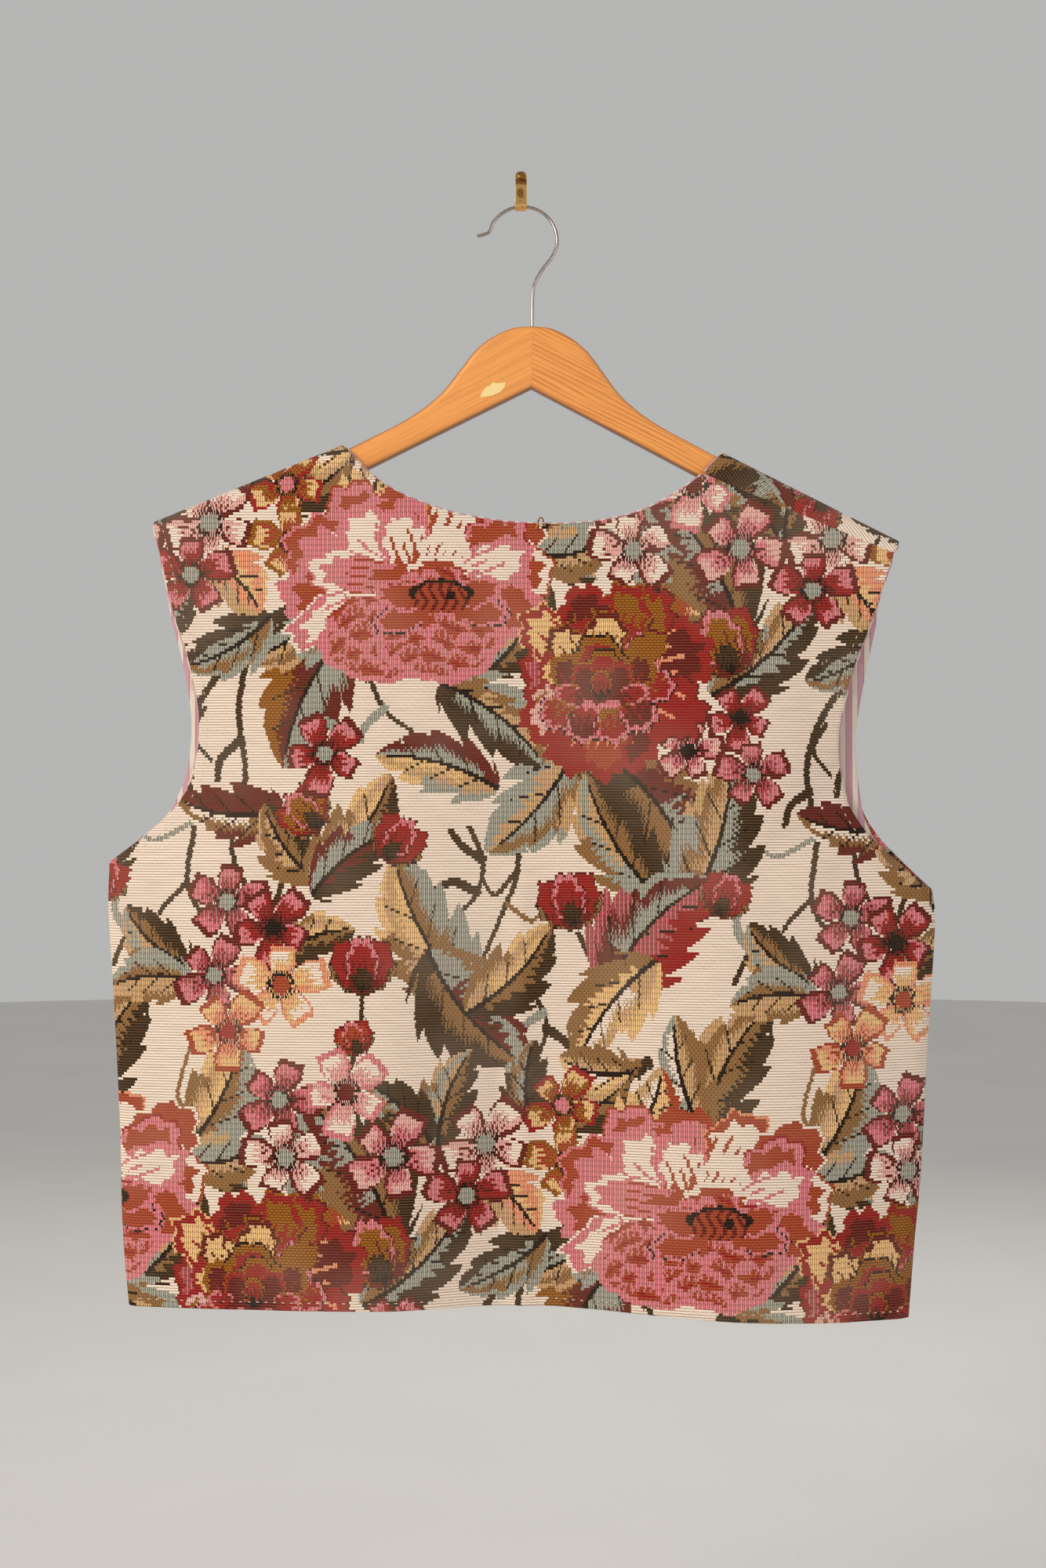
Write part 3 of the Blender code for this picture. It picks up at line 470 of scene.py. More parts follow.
Yarn = namedtuple("Yarn", "name face binder upright dashed")
YARNS = [
    Yarn("cream", (0.96, 0.89, 0.81), (0.75, 0.53, 0.39), 0, 0),
    Yarn("burgundy", (0.36, 0.03, 0.05), (0.60, 0.36, 0.24), 0, 0),
    Yarn("crimson", (0.58, 0.05, 0.08), (0.68, 0.38, 0.26), 0, 0),
    Yarn("rust", (0.62, 0.21, 0.13), (0.86, 0.50, 0.27), 0, 0.6),
    Yarn("pink", (0.90, 0.47, 0.50), (0.62, 0.18, 0.22), 1, 0),
    Yarn("rose", (0.74, 0.28, 0.31), (0.50, 0.08, 0.11), 1, 0),
    Yarn("blush", (0.95, 0.72, 0.66), (0.78, 0.40, 0.40), 1, 0),
    Yarn("peach", (0.96, 0.60, 0.41), (0.76, 0.36, 0.25), 1, 0),
    Yarn("yellow", (0.97, 0.78, 0.50), (0.76, 0.46, 0.20), 1, 0),
    Yarn("tan", (0.85, 0.65, 0.42), (0.46, 0.33, 0.20), 1, 0),
    Yarn("mustard", (0.66, 0.40, 0.09), (0.20, 0.12, 0.05), 0, 1),
    Yarn("khaki", (0.57, 0.41, 0.24), (0.70, 0.51, 0.30), 0, 1),
    Yarn("olive", (0.17, 0.12, 0.06), (0.54, 0.40, 0.23), 0, 0),
    Yarn("grey", (0.65, 0.65, 0.58), (0.25, 0.23, 0.17), 1, 0),
    Yarn("maroon", (0.40, 0.10, 0.09), (0.46, 0.32, 0.19), 0, 0),
    Yarn("dark", (0.08, 0.05, 0.03), (0.28, 0.19, 0.11), 0, 0),
]
YARN_NUMBER = {yarn.name: number for number, yarn in enumerate(YARNS)}

REPEAT_ACROSS = np.array([388.0, -10.0])
REPEAT_DOWN = np.array([172.0, -388.0])
REPEAT_REACH = 3  # repeats looked at each way
GOLDEN = 0.6180339887  # a step that spreads the rows' stops evenly


def turned(x, z, angle):
    """Coordinates along and across a direction."""
    along = x * math.cos(angle) + z * math.sin(angle)
    return along, z * math.cos(angle) - x * math.sin(angle)


class Weave:
    """The yarn of each cell of a cloth, painted motif over motif in every repeat."""

    def __init__(self, x, z):
        self.x, self.z = x, z
        self.yarn = np.zeros(len(x), int)
        row = np.floor(z / RIB)
        self.jag = ((row * GOLDEN) % 1.0) * 2 - 1  # each row of weft stops a little sooner or later

    def places(self, at, reach, jag=0.0):
        """The cells about each repeat of a place, with their offsets from it."""
        low = np.array([self.x.min(), self.z.min()]) - reach
        high = np.array([self.x.max(), self.z.max()]) + reach
        for i in range(-REPEAT_REACH, REPEAT_REACH + 1):
            for j in range(-REPEAT_REACH, REPEAT_REACH + 1):
                middle = np.array(at) + i * REPEAT_ACROSS + j * REPEAT_DOWN
                if (middle < low).any() or (middle > high).any():
                    continue
                close = (np.abs(self.x - middle[0]) < reach) & (np.abs(self.z - middle[1]) < reach)
                cells = np.nonzero(close)[0]
                if len(cells):
                    yield cells, self.x[cells] - middle[0] + jag * self.jag[cells], self.z[cells] - middle[1]

    def lay(self, cells, inside, *coats):
        """Lays yarn over yarn inside a motif; each coat is the part it covers and the yarn's name."""
        for where, name in coats:
            self.yarn[cells[inside & where]] = YARN_NUMBER[name]


LIT_TONES = ("tan", "grey", "yellow", "peach")  # leaves of these have paler veins
Leaf = namedtuple("Leaf", "base tip width bend tones lobes")


def paint_leaf(weave, leaf):
    """A leaf with lobes swept forward: light above its dark midrib, shaded below, combed between tones."""
    base, tip = np.array(leaf.base, float), np.array(leaf.tip, float)
    length = float(np.linalg.norm(tip - base))
    angle = math.atan2(*(tip - base)[::-1])
    light, shade, dark, glow = leaf.tones.split()
    for cells, dx, dz in weave.places(leaf.base, length * 1.25 + leaf.width, 0.5):
        along, across = turned(dx, dz, angle)
        t = np.clip(along / length, 0.001, 0.999)
        inside = (along > 0) & (along < length)
        across = across - leaf.bend * 4 * t * (1 - t)
        far = np.abs(across)
        slant = (t - 0.62 * far / length + 0.07 * (across > 0)) * leaf.lobes
        deep = 0.36 + 0.12 * np.sin(np.floor(slant) * 2.4 + leaf.width)
        lobe = 1.16 - deep * (1 - slant % 1.0) ** 1.3
        half = leaf.width / 2 * np.sin(math.pi * t**0.80) ** 0.60 * np.where(t < 0.84, lobe, 1.0)
        out = across / np.maximum(half, 0.1)
        inside &= np.abs(out) < 1
        run = along - 1.15 * far
        comb = 0.17 * np.abs(((run / 3.6) % 1.0) * 2 - 1) + 0.05 * np.sin(run / 7.0)
        above = out > 0
        vein = (run / (length / 4.4) + 0.35 * above) % 1.0
        near_vein = (vein < 7.0 / length) & (np.abs(out) < 0.66) & (np.abs(out) > 0.05) & (t > 0.14) & (t < 0.82)
        rib = np.abs(out) * half < 0.75 + 0.9 * (1 - t)
        weave.lay(
            cells,
            inside,
            (True, dark),
            (above, light),
            (~above & (out > -0.52 + 1.6 * comb) & (t > 0.14), shade),
            (above & (out > 0.46 + 1.5 * comb) & (t < 0.60), shade),
            (above & (out < 0.20 + 1.6 * comb) & (t > 0.30) & (t < 0.86), glow),
            (above & (out > 0.70) & (t > 0.60), glow),
            (near_vein, "olive" if light in LIT_TONES else "dark"),
            (rib & (t < 0.92), "dark"),
        )


def paint_petal(weave, at, angle, size, tones, ruffle):
    """A broad ruffled petal from its root out: streaked at the root, rimmed, and edged."""
    length, width = size
    rim, body, root, edge = tones.split()
    for cells, dx, dz in weave.places(at, length * 1.3 + width, 0.8):
        along, across = turned(dx, dz, angle)
        share, side = along / length, across / width
        bearing = np.arctan2(side, share * 2 - 1)
        out = np.hypot(share * 2 - 1, side)
        out = out / (1 + ruffle * np.sin(bearing * 7 + angle * 3) + 0.6 * ruffle * np.sin(bearing * 13))
        inside = out < 1
        streak = (side * 2.6 + 0.5 * share * side + angle) % 1.0
        comb = 0.10 * np.sin(side * 9 + angle * 5)
        band = 0.80 - 0.10 * (share > 0.6) + 0.05 * np.sin(bearing * 9 + angle)
        weave.lay(
            cells,
            inside,
            (True, body),
            ((streak < 0.30) & (share < 0.56 + comb), root),
            (share < 0.24 + comb, root),
            ((out > band) & (share > 0.22), rim),
            ((out > 0.93) & (share > 0.2), edge),
        )


Flower = namedtuple("Flower", "at radius turn tones")


def paint_flower(weave, flower):
    """A five-petalled flower, notched, streaked towards a ringed heart."""
    rim, body, light, heart = flower.tones.split()
    for cells, dx, dz in weave.places(flower.at, flower.radius * 1.15, 0.8):
        radius = np.hypot(dx, dz) / flower.radius
        sector = (np.arctan2(dz, dx) - flower.turn) / (2 * math.pi / 5)
        petal = np.floor(sector)
        side = (sector - petal) * 2 - 1
        fullness = 0.95 + 0.11 * np.sin(petal * 2.4 + flower.turn * 5)
        reach = fullness * np.clip(1 - np.abs(side) ** 2.6, 0, 1) ** 0.5
        reach = reach - 0.09 * np.exp(-((side / 0.16) ** 2)) + 0.035 * np.cos(side * 14)
        inside = radius < reach
        out = radius / np.maximum(reach, 0.05)
        streak = (side * 3.2 + 0.4 * petal) % 1.0
        weave.lay(
            cells,
            inside,
            (True, body),
            ((out > 0.50 + 0.24 * streak) & (side > -0.35), light),
            ((out > 0.86) | (out < 0.66 * (1 - streak)), rim),
            ((side < -0.62) & (out > 0.3), rim),
            ((np.abs(side) > 0.90) & (radius > 0.22), "burgundy"),
        )
        weave.lay(cells, radius < 0.29, ((radius > 0.17) & (streak < 0.62), "dark"), (radius < 0.18, heart))


Stem = namedtuple("Stem", "points width name", defaults=["olive"])


def paint_stem(weave, stem):
    """A curved twig, a little thicker where it starts."""
    line = spline_through(stem.points, 6)
    middle = line.mean(axis=0)
    reach = float(np.abs(line - middle).max()) + 4
    for cells, dx, dz in weave.places(middle, reach, 0.5):
        near = np.full(len(cells), 1e9)
        for step, (start, end) in enumerate(zip(line[:-1] - middle, line[1:] - middle)):
            run = end - start
            t = np.clip(((dx - start[0]) * run[0] + (dz - start[1]) * run[1]) / max(run @ run, 1e-9), 0, 1)
            thick = stem.width / 2 * (1.15 - 0.4 * step / len(line))
            near = np.minimum(near, np.hypot(dx - start[0] - t * run[0], dz - start[1] - t * run[1]) / thick)
        weave.lay(cells, near < 1, (True, stem.name))


def paint_seeds(weave, at, size, dark, light):
    """Short curled stamens crowded in the middle of a full flower."""
    for cells, dx, dz in weave.places(at, max(size) * 1.1, 0.5):
        out = np.hypot(dx / size[0], dz / size[1])
        curl = (dx / 6.2 + 0.35 * np.sin(dz / 2.6)) % 1.0
        inside = out < 1 + 0.07 * np.sin(np.arctan2(dz, dx) * 9)
        gap = (out > 0.80) & (dz > -size[1] * 0.2) | (np.hypot(dx - size[0] * 0.3, dz) < size[1] * 0.3)
        weave.lay(cells, inside, (True, light), (curl < 0.40, dark), (gap, "dark"))


def paint_lace(weave, at, size, line, body, edge):
    """A full round of small crowded petals, drawn as broken scales and scalloped all round."""
    for cells, dx, dz in weave.places(at, max(size) * 1.25, 0.7):
        x, z = dx / size[0], dz / size[1]
        bearing = np.arctan2(z, x)
        out = np.hypot(x, z) / (1 + 0.07 * np.abs(np.sin(bearing * 5.5)) + 0.03 * np.sin(bearing * 4))
        inside = out < 1.0
        warped_x = dx + 3.4 * np.sin(dz / 7.1 + 0.8) + 1.9 * np.sin(dx / 3.1 + dz / 9.0)
        warped_z = dz + 3.2 * np.sin(dx / 8.3) + 10 * x * x
        row = np.floor(warped_z / 11.0)
        across = (warped_x / 17.0 + 0.5 * row) % 1.0 - 0.5
        rise = (warped_z / 11.0) % 1.0
        thick = 0.22 + 0.13 * np.sin(dx / 5.0 + row * 2.1)
        arc = np.abs(rise - 0.90 + 2.8 * across * across) < thick
        fleck = ((dx / 3.9 + 0.5 * row) % 1.0 < 0.36) & (rise > 0.30) & (rise < 0.75)
        tip, border = (rise < 0.20) & (np.abs(across) < 0.24), (out > 0.86) & (dz < size[1] * 0.5)
        weave.lay(cells, inside, (True, body), (arc | fleck, line), (tip, edge), (border, line))


def around(at, distance, angle):
    return (at[0] + distance * math.cos(angle), at[1] + distance * math.sin(angle))


Bloom = namedtuple("Bloom", "x z turn length width tones")


def paint_blooms(weave, at, size, blooms, ruffle):
    """Petals placed about a flower's middle, each rooted at its own place, as shares of its size."""
    for bloom in blooms:
        root_at = (at[0] + size * bloom.x, at[1] + size * bloom.z)
        paint_petal(weave, root_at, bloom.turn, (size * bloom.length, size * bloom.width), bloom.tones, ruffle)


PEONY_PETALS = [
    Bloom(-0.30, 0.20, 2.10, 0.92, 0.36, "pink rust rust rust"),
    Bloom(0.00, 0.25, 1.65, 0.76, 0.34, "rust pink rust rust"),
    Bloom(0.30, 0.25, 1.15, 0.78, 0.36, "rust cream rust peach"),
    Bloom(0.55, 0.20, 0.70, 0.92, 0.34, "rust rust crimson cream"),
    Bloom(0.60, 0.05, 0.15, 0.80, 0.34, "cream rust crimson rust"),
    Bloom(-0.30, 0.00, 2.70, 1.10, 0.42, "rust pink cream pink"),
    Bloom(-0.25, -0.05, 3.20, 1.12, 0.34, "pink rust rust pink"),
    Bloom(0.35, -0.10, -0.25, 1.00, 0.34, "pink rust rust pink"),
    Bloom(-0.05, 0.05, 2.35, 0.98, 0.34, "pink cream pink pink"),
    Bloom(-0.10, -0.05, 3.55, 1.30, 0.27, "pink cream pink cream"),
    Bloom(-0.10, 0.02, 3.00, 1.00, 0.24, "cream pink rust pink"),
    Bloom(0.02, 0.10, 1.95, 0.70, 0.27, "pink cream rust pink"),
    Bloom(0.45, 0.08, 0.75, 0.86, 0.30, "pink rust rust crimson"),
    Bloom(0.38, 0.02, 0.38, 0.86, 0.26, "pink cream pink pink"),
    Bloom(0.20, 0.05, 1.20, 0.56, 0.24, "cream cream rust cream"),
    Bloom(-0.15, -0.20, 3.75, 0.95, 0.24, "cream pink rust pink"),
    Bloom(0.24, -0.10, 1.62, 0.40, 0.32, "cream rust rust cream"),
]


def paint_peony(weave, at, size):
    """A full pink peony: loose petals lit in cream above, and a lacy round of small ones below."""
    paint_blooms(weave, at, size, PEONY_PETALS, 0.07)
    lower = (at[0] - size * 0.36, at[1] - size * 0.56)
    paint_lace(weave, lower, (size * 0.58, size * 0.42), "pink", "rust", "crimson")
    ball = (at[0] + size * 0.26, at[1] - size * 0.42)
    paint_lace(weave, ball, (size * 0.66, size * 0.56), "pink", "rust", "crimson")
    cup = (ball[0], ball[1] + size * 0.20)
    for turn, reach, edge in ((3.45, 0.62, "dark"), (2.9, 0.60, "pink"), (-0.15, 0.60, "dark"), (0.35, 0.56, "pink")):
        start = around(cup, size * 0.10, turn)
        paint_petal(weave, start, turn, (size * reach, size * 0.15), f"pink rust rust {edge}", 0.07)
    paint_seeds(weave, (cup[0], cup[1] + size * 0.10), (size * 0.32, size * 0.17), "burgundy", "rust")


ROSE_PETALS = [
    Bloom(0.45, 0.05, 0.25, 0.95, 0.48, "crimson burgundy peach crimson"),
    Bloom(0.35, -0.20, 5.80, 1.05, 0.42, "crimson crimson peach burgundy"),
    Bloom(0.20, 0.20, 0.90, 1.00, 0.34, "crimson mustard burgundy burgundy"),
    Bloom(-0.35, 0.00, 3.20, 0.66, 0.44, "crimson rose crimson burgundy"),
    Bloom(-0.25, -0.20, 3.90, 0.90, 0.40, "crimson blush mustard crimson"),
    Bloom(0.15, -0.40, 5.10, 0.90, 0.38, "crimson burgundy peach crimson"),
    Bloom(-0.15, -0.40, 4.40, 0.92, 0.40, "crimson crimson peach crimson"),
    Bloom(0.00, -0.40, 4.75, 0.98, 0.34, "crimson rust peach crimson"),
    Bloom(-0.25, 0.15, 2.50, 0.92, 0.34, "crimson yellow crimson yellow"),
    Bloom(0.15, 0.25, 1.30, 0.86, 0.34, "crimson mustard crimson mustard"),
    Bloom(-0.05, 0.25, 1.85, 0.84, 0.34, "crimson burgundy mustard crimson"),
]
ROSE_HOODS = [
    Bloom(0.02, 0.10, 1.45, 0.66, 0.27, "burgundy yellow mustard mustard"),
    Bloom(-0.22, 0.05, 2.25, 0.62, 0.24, "burgundy yellow burgundy mustard"),
    Bloom(-0.34, -0.10, 2.85, 0.46, 0.20, "crimson yellow burgundy crimson"),
    Bloom(0.30, 0.10, 0.55, 0.60, 0.20, "mustard mustard mustard burgundy"),
]
ROSE_RUFFLE = [
    Bloom(-0.38, -0.36, 3.95, 0.46, 0.24, "pink crimson mustard dark"),
    Bloom(-0.16, -0.48, 4.45, 0.44, 0.24, "pink burgundy crimson dark"),
    Bloom(0.10, -0.46, 4.90, 0.46, 0.24, "pink crimson mustard dark"),
    Bloom(0.32, -0.34, 5.35, 0.48, 0.25, "pink burgundy crimson dark"),
    Bloom(0.48, -0.10, 5.85, 0.46, 0.22, "pink crimson mustard dark"),
]
ROSE_HEART = [
    Bloom(-0.02, -0.40, 1.60, 0.86, 0.36, "mustard crimson burgundy dark"),
    Bloom(-0.22, -0.34, 2.15, 0.62, 0.22, "mustard burgundy crimson mustard"),
    Bloom(0.24, -0.32, 0.95, 0.64, 0.22, "mustard burgundy crimson mustard"),
    Bloom(0.00, -0.38, 1.50, 0.66, 0.25, "mustard crimson burgundy dark"),
    Bloom(-0.10, -0.36, 1.95, 0.48, 0.17, "crimson burgundy burgundy mustard"),
    Bloom(0.12, -0.36, 1.20, 0.50, 0.17, "crimson burgundy burgundy mustard"),
    Bloom(0.00, -0.36, 1.58, 0.38, 0.14, "mustard crimson dark dark"),
    Bloom(-0.20, -0.36, 2.85, 0.40, 0.13, "pink crimson burgundy mustard"),
    Bloom(0.20, -0.36, 0.30, 0.42, 0.13, "pink crimson burgundy mustard"),
]


def paint_rose(weave, at, size):
    """A deep red rose: a pink bowl about a heart of gold-edged petals, yellow hoods above and ruffles below."""
    paint_blooms(weave, at, size, ROSE_PETALS, 0.09)
    for cells, dx, dz in weave.places(at, size * 0.9, 0.6):
        out = np.hypot(dx / 0.74, dz / 0.66) / size
        bearing = np.arctan2(dz, dx)
        lower = (out > 0.60) & (out < 0.98) & (np.abs(bearing + 0.8) < 1.6)
        left = (out > 0.74) & (np.abs(bearing + 2.75) < 0.45)
        weave.lay(cells, out < 1, (True, "crimson"), (lower, "pink"), (left, "blush"))
    for blooms, ruffle in ((ROSE_HOODS, 0.08), (ROSE_RUFFLE, 0.08), (ROSE_HEART, 0.05)):
        paint_blooms(weave, at, size, blooms, ruffle)


Bud = namedtuple("Bud", "at size turn body")


def paint_bud(weave, bud):
    """A half-open bud: three folded petals over a pair of sepals."""
    at, size, turn, body = bud
    for side in (-0.85, 0.85):
        paint_petal(weave, at, turn + side, (size * 0.95, size * 0.24), "khaki olive olive dark", 0.08)
    for side in (-0.42, 0.42, 0.0):
        tones = f"{'crimson' if side else 'pink'} {body} burgundy burgundy"
        paint_petal(weave, at, turn + side, (size * 1.25, size * 0.38), tones, 0.07)
    paint_petal(weave, at, turn, (size * 0.55, size * 0.20), "olive olive dark dark", 0.08)


PEONY = ((-66.0, -252.0), 62.0)
ROSE = ((50.0, -306.0), 50.0)
BUDS = [
    Bud((-98, -506), 28, 1.6, "crimson"),
    Bud((-100, -544), 17, 1.9, "rust"),
    Bud((34, -466), 28, 1.8, "crimson"),
    Bud((-84, -424), 24, 1, "crimson"),
    Bud((122, -458), 22, 1.2, "crimson"),
    Bud((132, -308), 34, 1.9, "mustard"),
    Bud((-124, -404), 24, 2.4, "mustard"),
]
FLOWERS = [
    Flower((-146, -190), 26, 0.4, "crimson mustard yellow pink"),
    Flower((-143, -226), 27, 1.0, "mustard rust yellow pink"),
    Flower((-194, -214), 32, 0.3, "burgundy blush cream grey"),
    Flower((-206, -246), 29, 0.9, "burgundy crimson pink grey"),
    Flower((137, -230), 32, 0.5, "burgundy pink blush grey"),
    Flower((136, -336), 23, 0.2, "burgundy crimson pink dark"),
    Flower((104, -356), 23, 0.7, "burgundy pink blush dark"),
    Flower((144, -371), 25, 1.0, "burgundy rose pink grey"),
    Flower((-122, -358), 28, 0.1, "burgundy crimson pink grey"),
    Flower((-183, -450), 28, 0.8, "burgundy rose pink grey"),
    Flower((-154, -466), 28, 0.2, "burgundy crimson pink dark"),
    Flower((-191, -496), 27, 0.5, "burgundy rose pink grey"),
    Flower((-149, -502), 31, 0.9, "peach yellow cream rust"),
    Flower((-182, -531), 28, 0.3, "rust peach yellow crimson"),
    Flower((-150, -573), 28, 0.6, "burgundy rose pink grey"),
    Flower((-108, -568), 30, 0.1, "pink blush cream burgundy"),
    Flower((-146, -609), 29, 1.1, "burgundy blush cream grey"),
]
LEAVES = [
    Leaf((-4, -232), (47, -249), 31, 5, "tan grey olive cream", 3),
    Leaf((-22, -308), (18, -253), 38, -4, "grey khaki olive tan", 4),
    Leaf((104, -312), (79, -206), 60, -10, "maroon khaki olive grey", 5),
    Leaf((112, -310), (133, -202), 48, 8, "rust mustard khaki yellow", 5),
    Leaf((118, -322), (183, -256), 41, -8, "khaki grey olive tan", 4),
    Leaf((-14, -380), (-90, -359), 38, -6, "tan grey maroon yellow", 4),
    Leaf((40, -340), (-21, -420), 53, 8, "khaki tan grey grey", 5),
    Leaf((-50, -314), (15, -365), 43, 6, "khaki grey olive tan", 4),
    Leaf((62, -366), (115, -461), 67, 10, "maroon khaki olive grey", 6),
    Leaf((100, -460), (130, -361), 53, -8, "khaki grey olive tan", 5),
    Leaf((84, -446), (40, -370), 43, 6, "grey khaki olive tan", 4),
    Leaf((-102, -276), (-148, -367), 55, -9, "grey maroon mustard grey", 5),
    Leaf((-112, -258), (-173, -300), 40, 6, "khaki grey olive tan", 4),
    Leaf((-156, -272), (-211, -304), 36, 5, "khaki grey olive grey", 3),
    Leaf((-148, -392), (-216, -386), 36, 7, "khaki maroon maroon cream", 3),
    Leaf((-124, -438), (-160, -389), 34, 6, "khaki khaki olive tan", 4),
    Leaf((-132, -436), (-81, -371), 41, -8, "tan khaki olive yellow", 4),
    Leaf((-130, -446), (-73, -404), 34, 6, "grey maroon olive grey", 4),
    Leaf((-28, -514), (-79, -421), 53, 8, "tan khaki grey yellow", 5),
    Leaf((-58, -480), (3, -552), 58, -8, "grey khaki olive maroon", 5),
    Leaf((-34, -520), (19, -465), 40, -6, "tan khaki olive yellow", 4),
    Leaf((52, -512), (118, -436), 64, 10, "maroon rose crimson grey", 5),
    Leaf((84, -486), (35, -552), 46, -6, "tan yellow khaki cream", 4),
    Leaf((110, -598), (152, -514), 50, 7, "khaki khaki olive tan", 4),
    Leaf((114, -594), (59, -552), 41, -6, "khaki grey olive tan", 4),
    Leaf((112, -592), (95, -520), 36, 5, "grey tan khaki cream", 4),
    Leaf((6, -590), (8, -537), 29, 4, "khaki olive olive grey", 3),
    Leaf((24, -592), (75, -548), 34, -5, "khaki khaki olive tan", 3),
    Leaf((-208, -490), (-248, -454), 33, 5, "grey khaki olive tan", 3),
    Leaf((-204, -500), (-259, -504), 33, -5, "tan khaki grey tan", 3),
    Leaf((-152, -486), (-103, -467), 31, 5, "tan khaki olive yellow", 3),
    Leaf((-210, -606), (-174, -534), 45, -6, "tan khaki grey yellow", 4),
    Leaf((-214, -612), (-157, -599), 34, -6, "grey tan khaki grey", 3),
    Leaf((-52, -604), (-31, -543), 34, 5, "grey khaki olive tan", 4),
    Leaf((-56, -600), (-96, -562), 29, -4, "khaki olive olive grey", 3),
    Leaf((-78, -666), (-137, -571), 57, -10, "maroon khaki olive grey", 5),
    Leaf((-104, -168), (-148, -160), 34, 5, "yellow tan khaki cream", 3),
    Leaf((-110, -214), (-85, -165), 38, -6, "tan yellow rust cream", 3),
    Leaf((-196, -236), (-162, -270), 38, 4, "peach peach tan yellow", 3),
]
STEMS = [
    Stem([(-164, -284), (-196, -318), (-210, -356), (-204, -398), (-208, -440), (-190, -470)], 4.0),
    Stem([(-168, -284), (-176, -330), (-172, -372), (-180, -418), (-164, -452)], 3.6),
    Stem([(-198, -330), (-206, -346), (-194, -362)], 3.0),
    Stem([(-208, -438), (-222, -452), (-226, -458)], 3.0),
    Stem([(-204, -400), (-228, -412), (-238, -408)], 3.0, "grey"),
    Stem([(-4, -392), (-2, -430), (-12, -458), (-28, -496)], 3.2),
    Stem([(-2, -430), (-16, -446), (-24, -436)], 2.8),
    Stem([(-8, -452), (6, -462), (14, -456)], 2.8, "khaki"),
    Stem([(36, -470), (44, -486), (60, -498)], 3.0),
    Stem([(-110, -560), (-104, -548), (-100, -534), (-98, -506)], 3.2),
    Stem([(-212, -604), (-214, -570), (-206, -540)], 2.8, "khaki"),
    Stem([(112, -592), (126, -560), (138, -530)], 2.6, "dark"),
    Stem([(-94, -312), (-84, -332), (-68, -344)], 3.0),
    Stem([(-85, -330), (-96, -340), (-100, -350)], 5.0, "grey"),
    Stem([(-32, -404), (-24, -424), (-28, -446), (-46, -464)], 3.0),
    Stem([(-28, -444), (-42, -438), (-52, -442)], 5.5),
    Stem([(-24, -424), (-36, -416), (-44, -406)], 5.0),
    Stem([(-148, -438), (-158, -460), (-178, -476)], 3.0),
    Stem([(-158, -460), (-146, -472), (-142, -484)], 5.5),
    Stem([(8, -506), (16, -530), (6, -556)], 3.0),
    Stem([(16, -530), (28, -538), (36, -550)], 5.5),
    Stem([(14, -520), (2, -528), (-4, -540)], 5.0, "grey"),
    Stem([(-176, -350), (-188, -362), (-190, -374)], 5.0),
    Stem([(-208, -372), (-220, -380), (-224, -392)], 5.0),
    Stem([(132, -500), (142, -480), (158, -470)], 3.0),
    Stem([(142, -480), (134, -468), (134, -456)], 5.5, "grey"),
]


def painted_yarns(x, z):
    """The number of the yarn that shows in each cell of a cut."""
    weave = Weave(x, z)
    motifs = ((paint_stem, STEMS), (paint_leaf, LEAVES), (paint_bud, BUDS), (paint_flower, FLOWERS))
    for paint, table in motifs:
        for motif in table:
            paint(weave, motif)
    paint_peony(weave, *PEONY)
    paint_rose(weave, *ROSE)
    return weave.yarn


# Pieces of cloth


def new_object(name, data, materials):
    for material in materials:
        data.materials.append(material)
    obj = bpy.data.objects.new(name, data)
    bpy.context.scene.collection.objects.link(obj)
    return obj


def mesh_of(name, built):
    """A built bmesh as a smooth mesh."""
    data = bpy.data.meshes.new(name)
    built.to_mesh(data)
    built.free()
    data.shade_smooth()
    return data


def plain_mesh(source):
    """The mesh that an object evaluates to, in place of the object."""
    graph = bpy.context.evaluated_depsgraph_get()
    data = bpy.data.meshes.new_from_object(source.evaluated_get(graph))
    bpy.data.objects.remove(source)
    return data


def mesh_from(name, points, faces):
    data = bpy.data.meshes.new(name)
    data.from_pydata([tuple(p) for p in np.asarray(points) * MILLIMETRE], [], [tuple(f) for f in faces])
    data.shade_smooth()
    return data


def thicken(piece, thickness, offset):
    wall = piece.modifiers.new("Thickness", "SOLIDIFY")
    wall.thickness = thickness * MILLIMETRE
    wall.offset = offset
    return wall


def write_vectors(data, name, domain, values):
    layer = data.attributes.new(name, "FLOAT_VECTOR", domain)
    layer.data.foreach_set("vector", np.ascontiguousarray(values, dtype=np.float32).ravel())


def write_cut(data, flat):
    """Keeps each point's place in the flat cut, in millimetres, for the weave and the stripes."""
    write_vectors(data, "cut", "POINT", np.column_stack([flat, np.zeros(len(flat))]))


# The turned edge: how far off the middle of the cloth and how far in from its edge each row lies.
TURNED_EDGE = [(0.45, -0.35), (0.0, -0.5), (-0.45, -0.35), (-0.75, 0.1), (-0.8, TURNED_IN)]
EDGE_YARN = 0.5  # the turned edge shows the yarn this far in
PRESSED_ROW = 3  # the row that meets the other panel's at a side seam
PRESS = 0.1  # how far it is pressed past the middle of the seam
SIDE_SEAM_REACH = 1.2  # how near a side's edge a point counts as on its seam
PEEP = 1.4  # how far the lining comes past the cut at the openings
HELD_BACK, HEM_HELD_BACK, SEAM_HELD_BACK = 5.2, 4.0, 0.5  # how far it stays behind at side seams, hem and others
SIDE_REACH, SIDE_TOP = 200.0, -400.0  # a seam farther out and lower than this is a side seam
CORNER_REACH, CORNER_TOP = 195.0, -370.0  # an armhole's edge farther out and lower is near the underarm
CORNER_EASE = [-428.0, -385.0]  # where the lining goes from staying back to peeping out


def on_side_seam(flat):
    x, z = flat.T
    away = np.minimum(x - edge_x(LEFT_NEAR, z), edge_x(RIGHT_NEAR, z) - x)
    return (away < SIDE_SEAM_REACH) & (z < UNDERARM_Z)


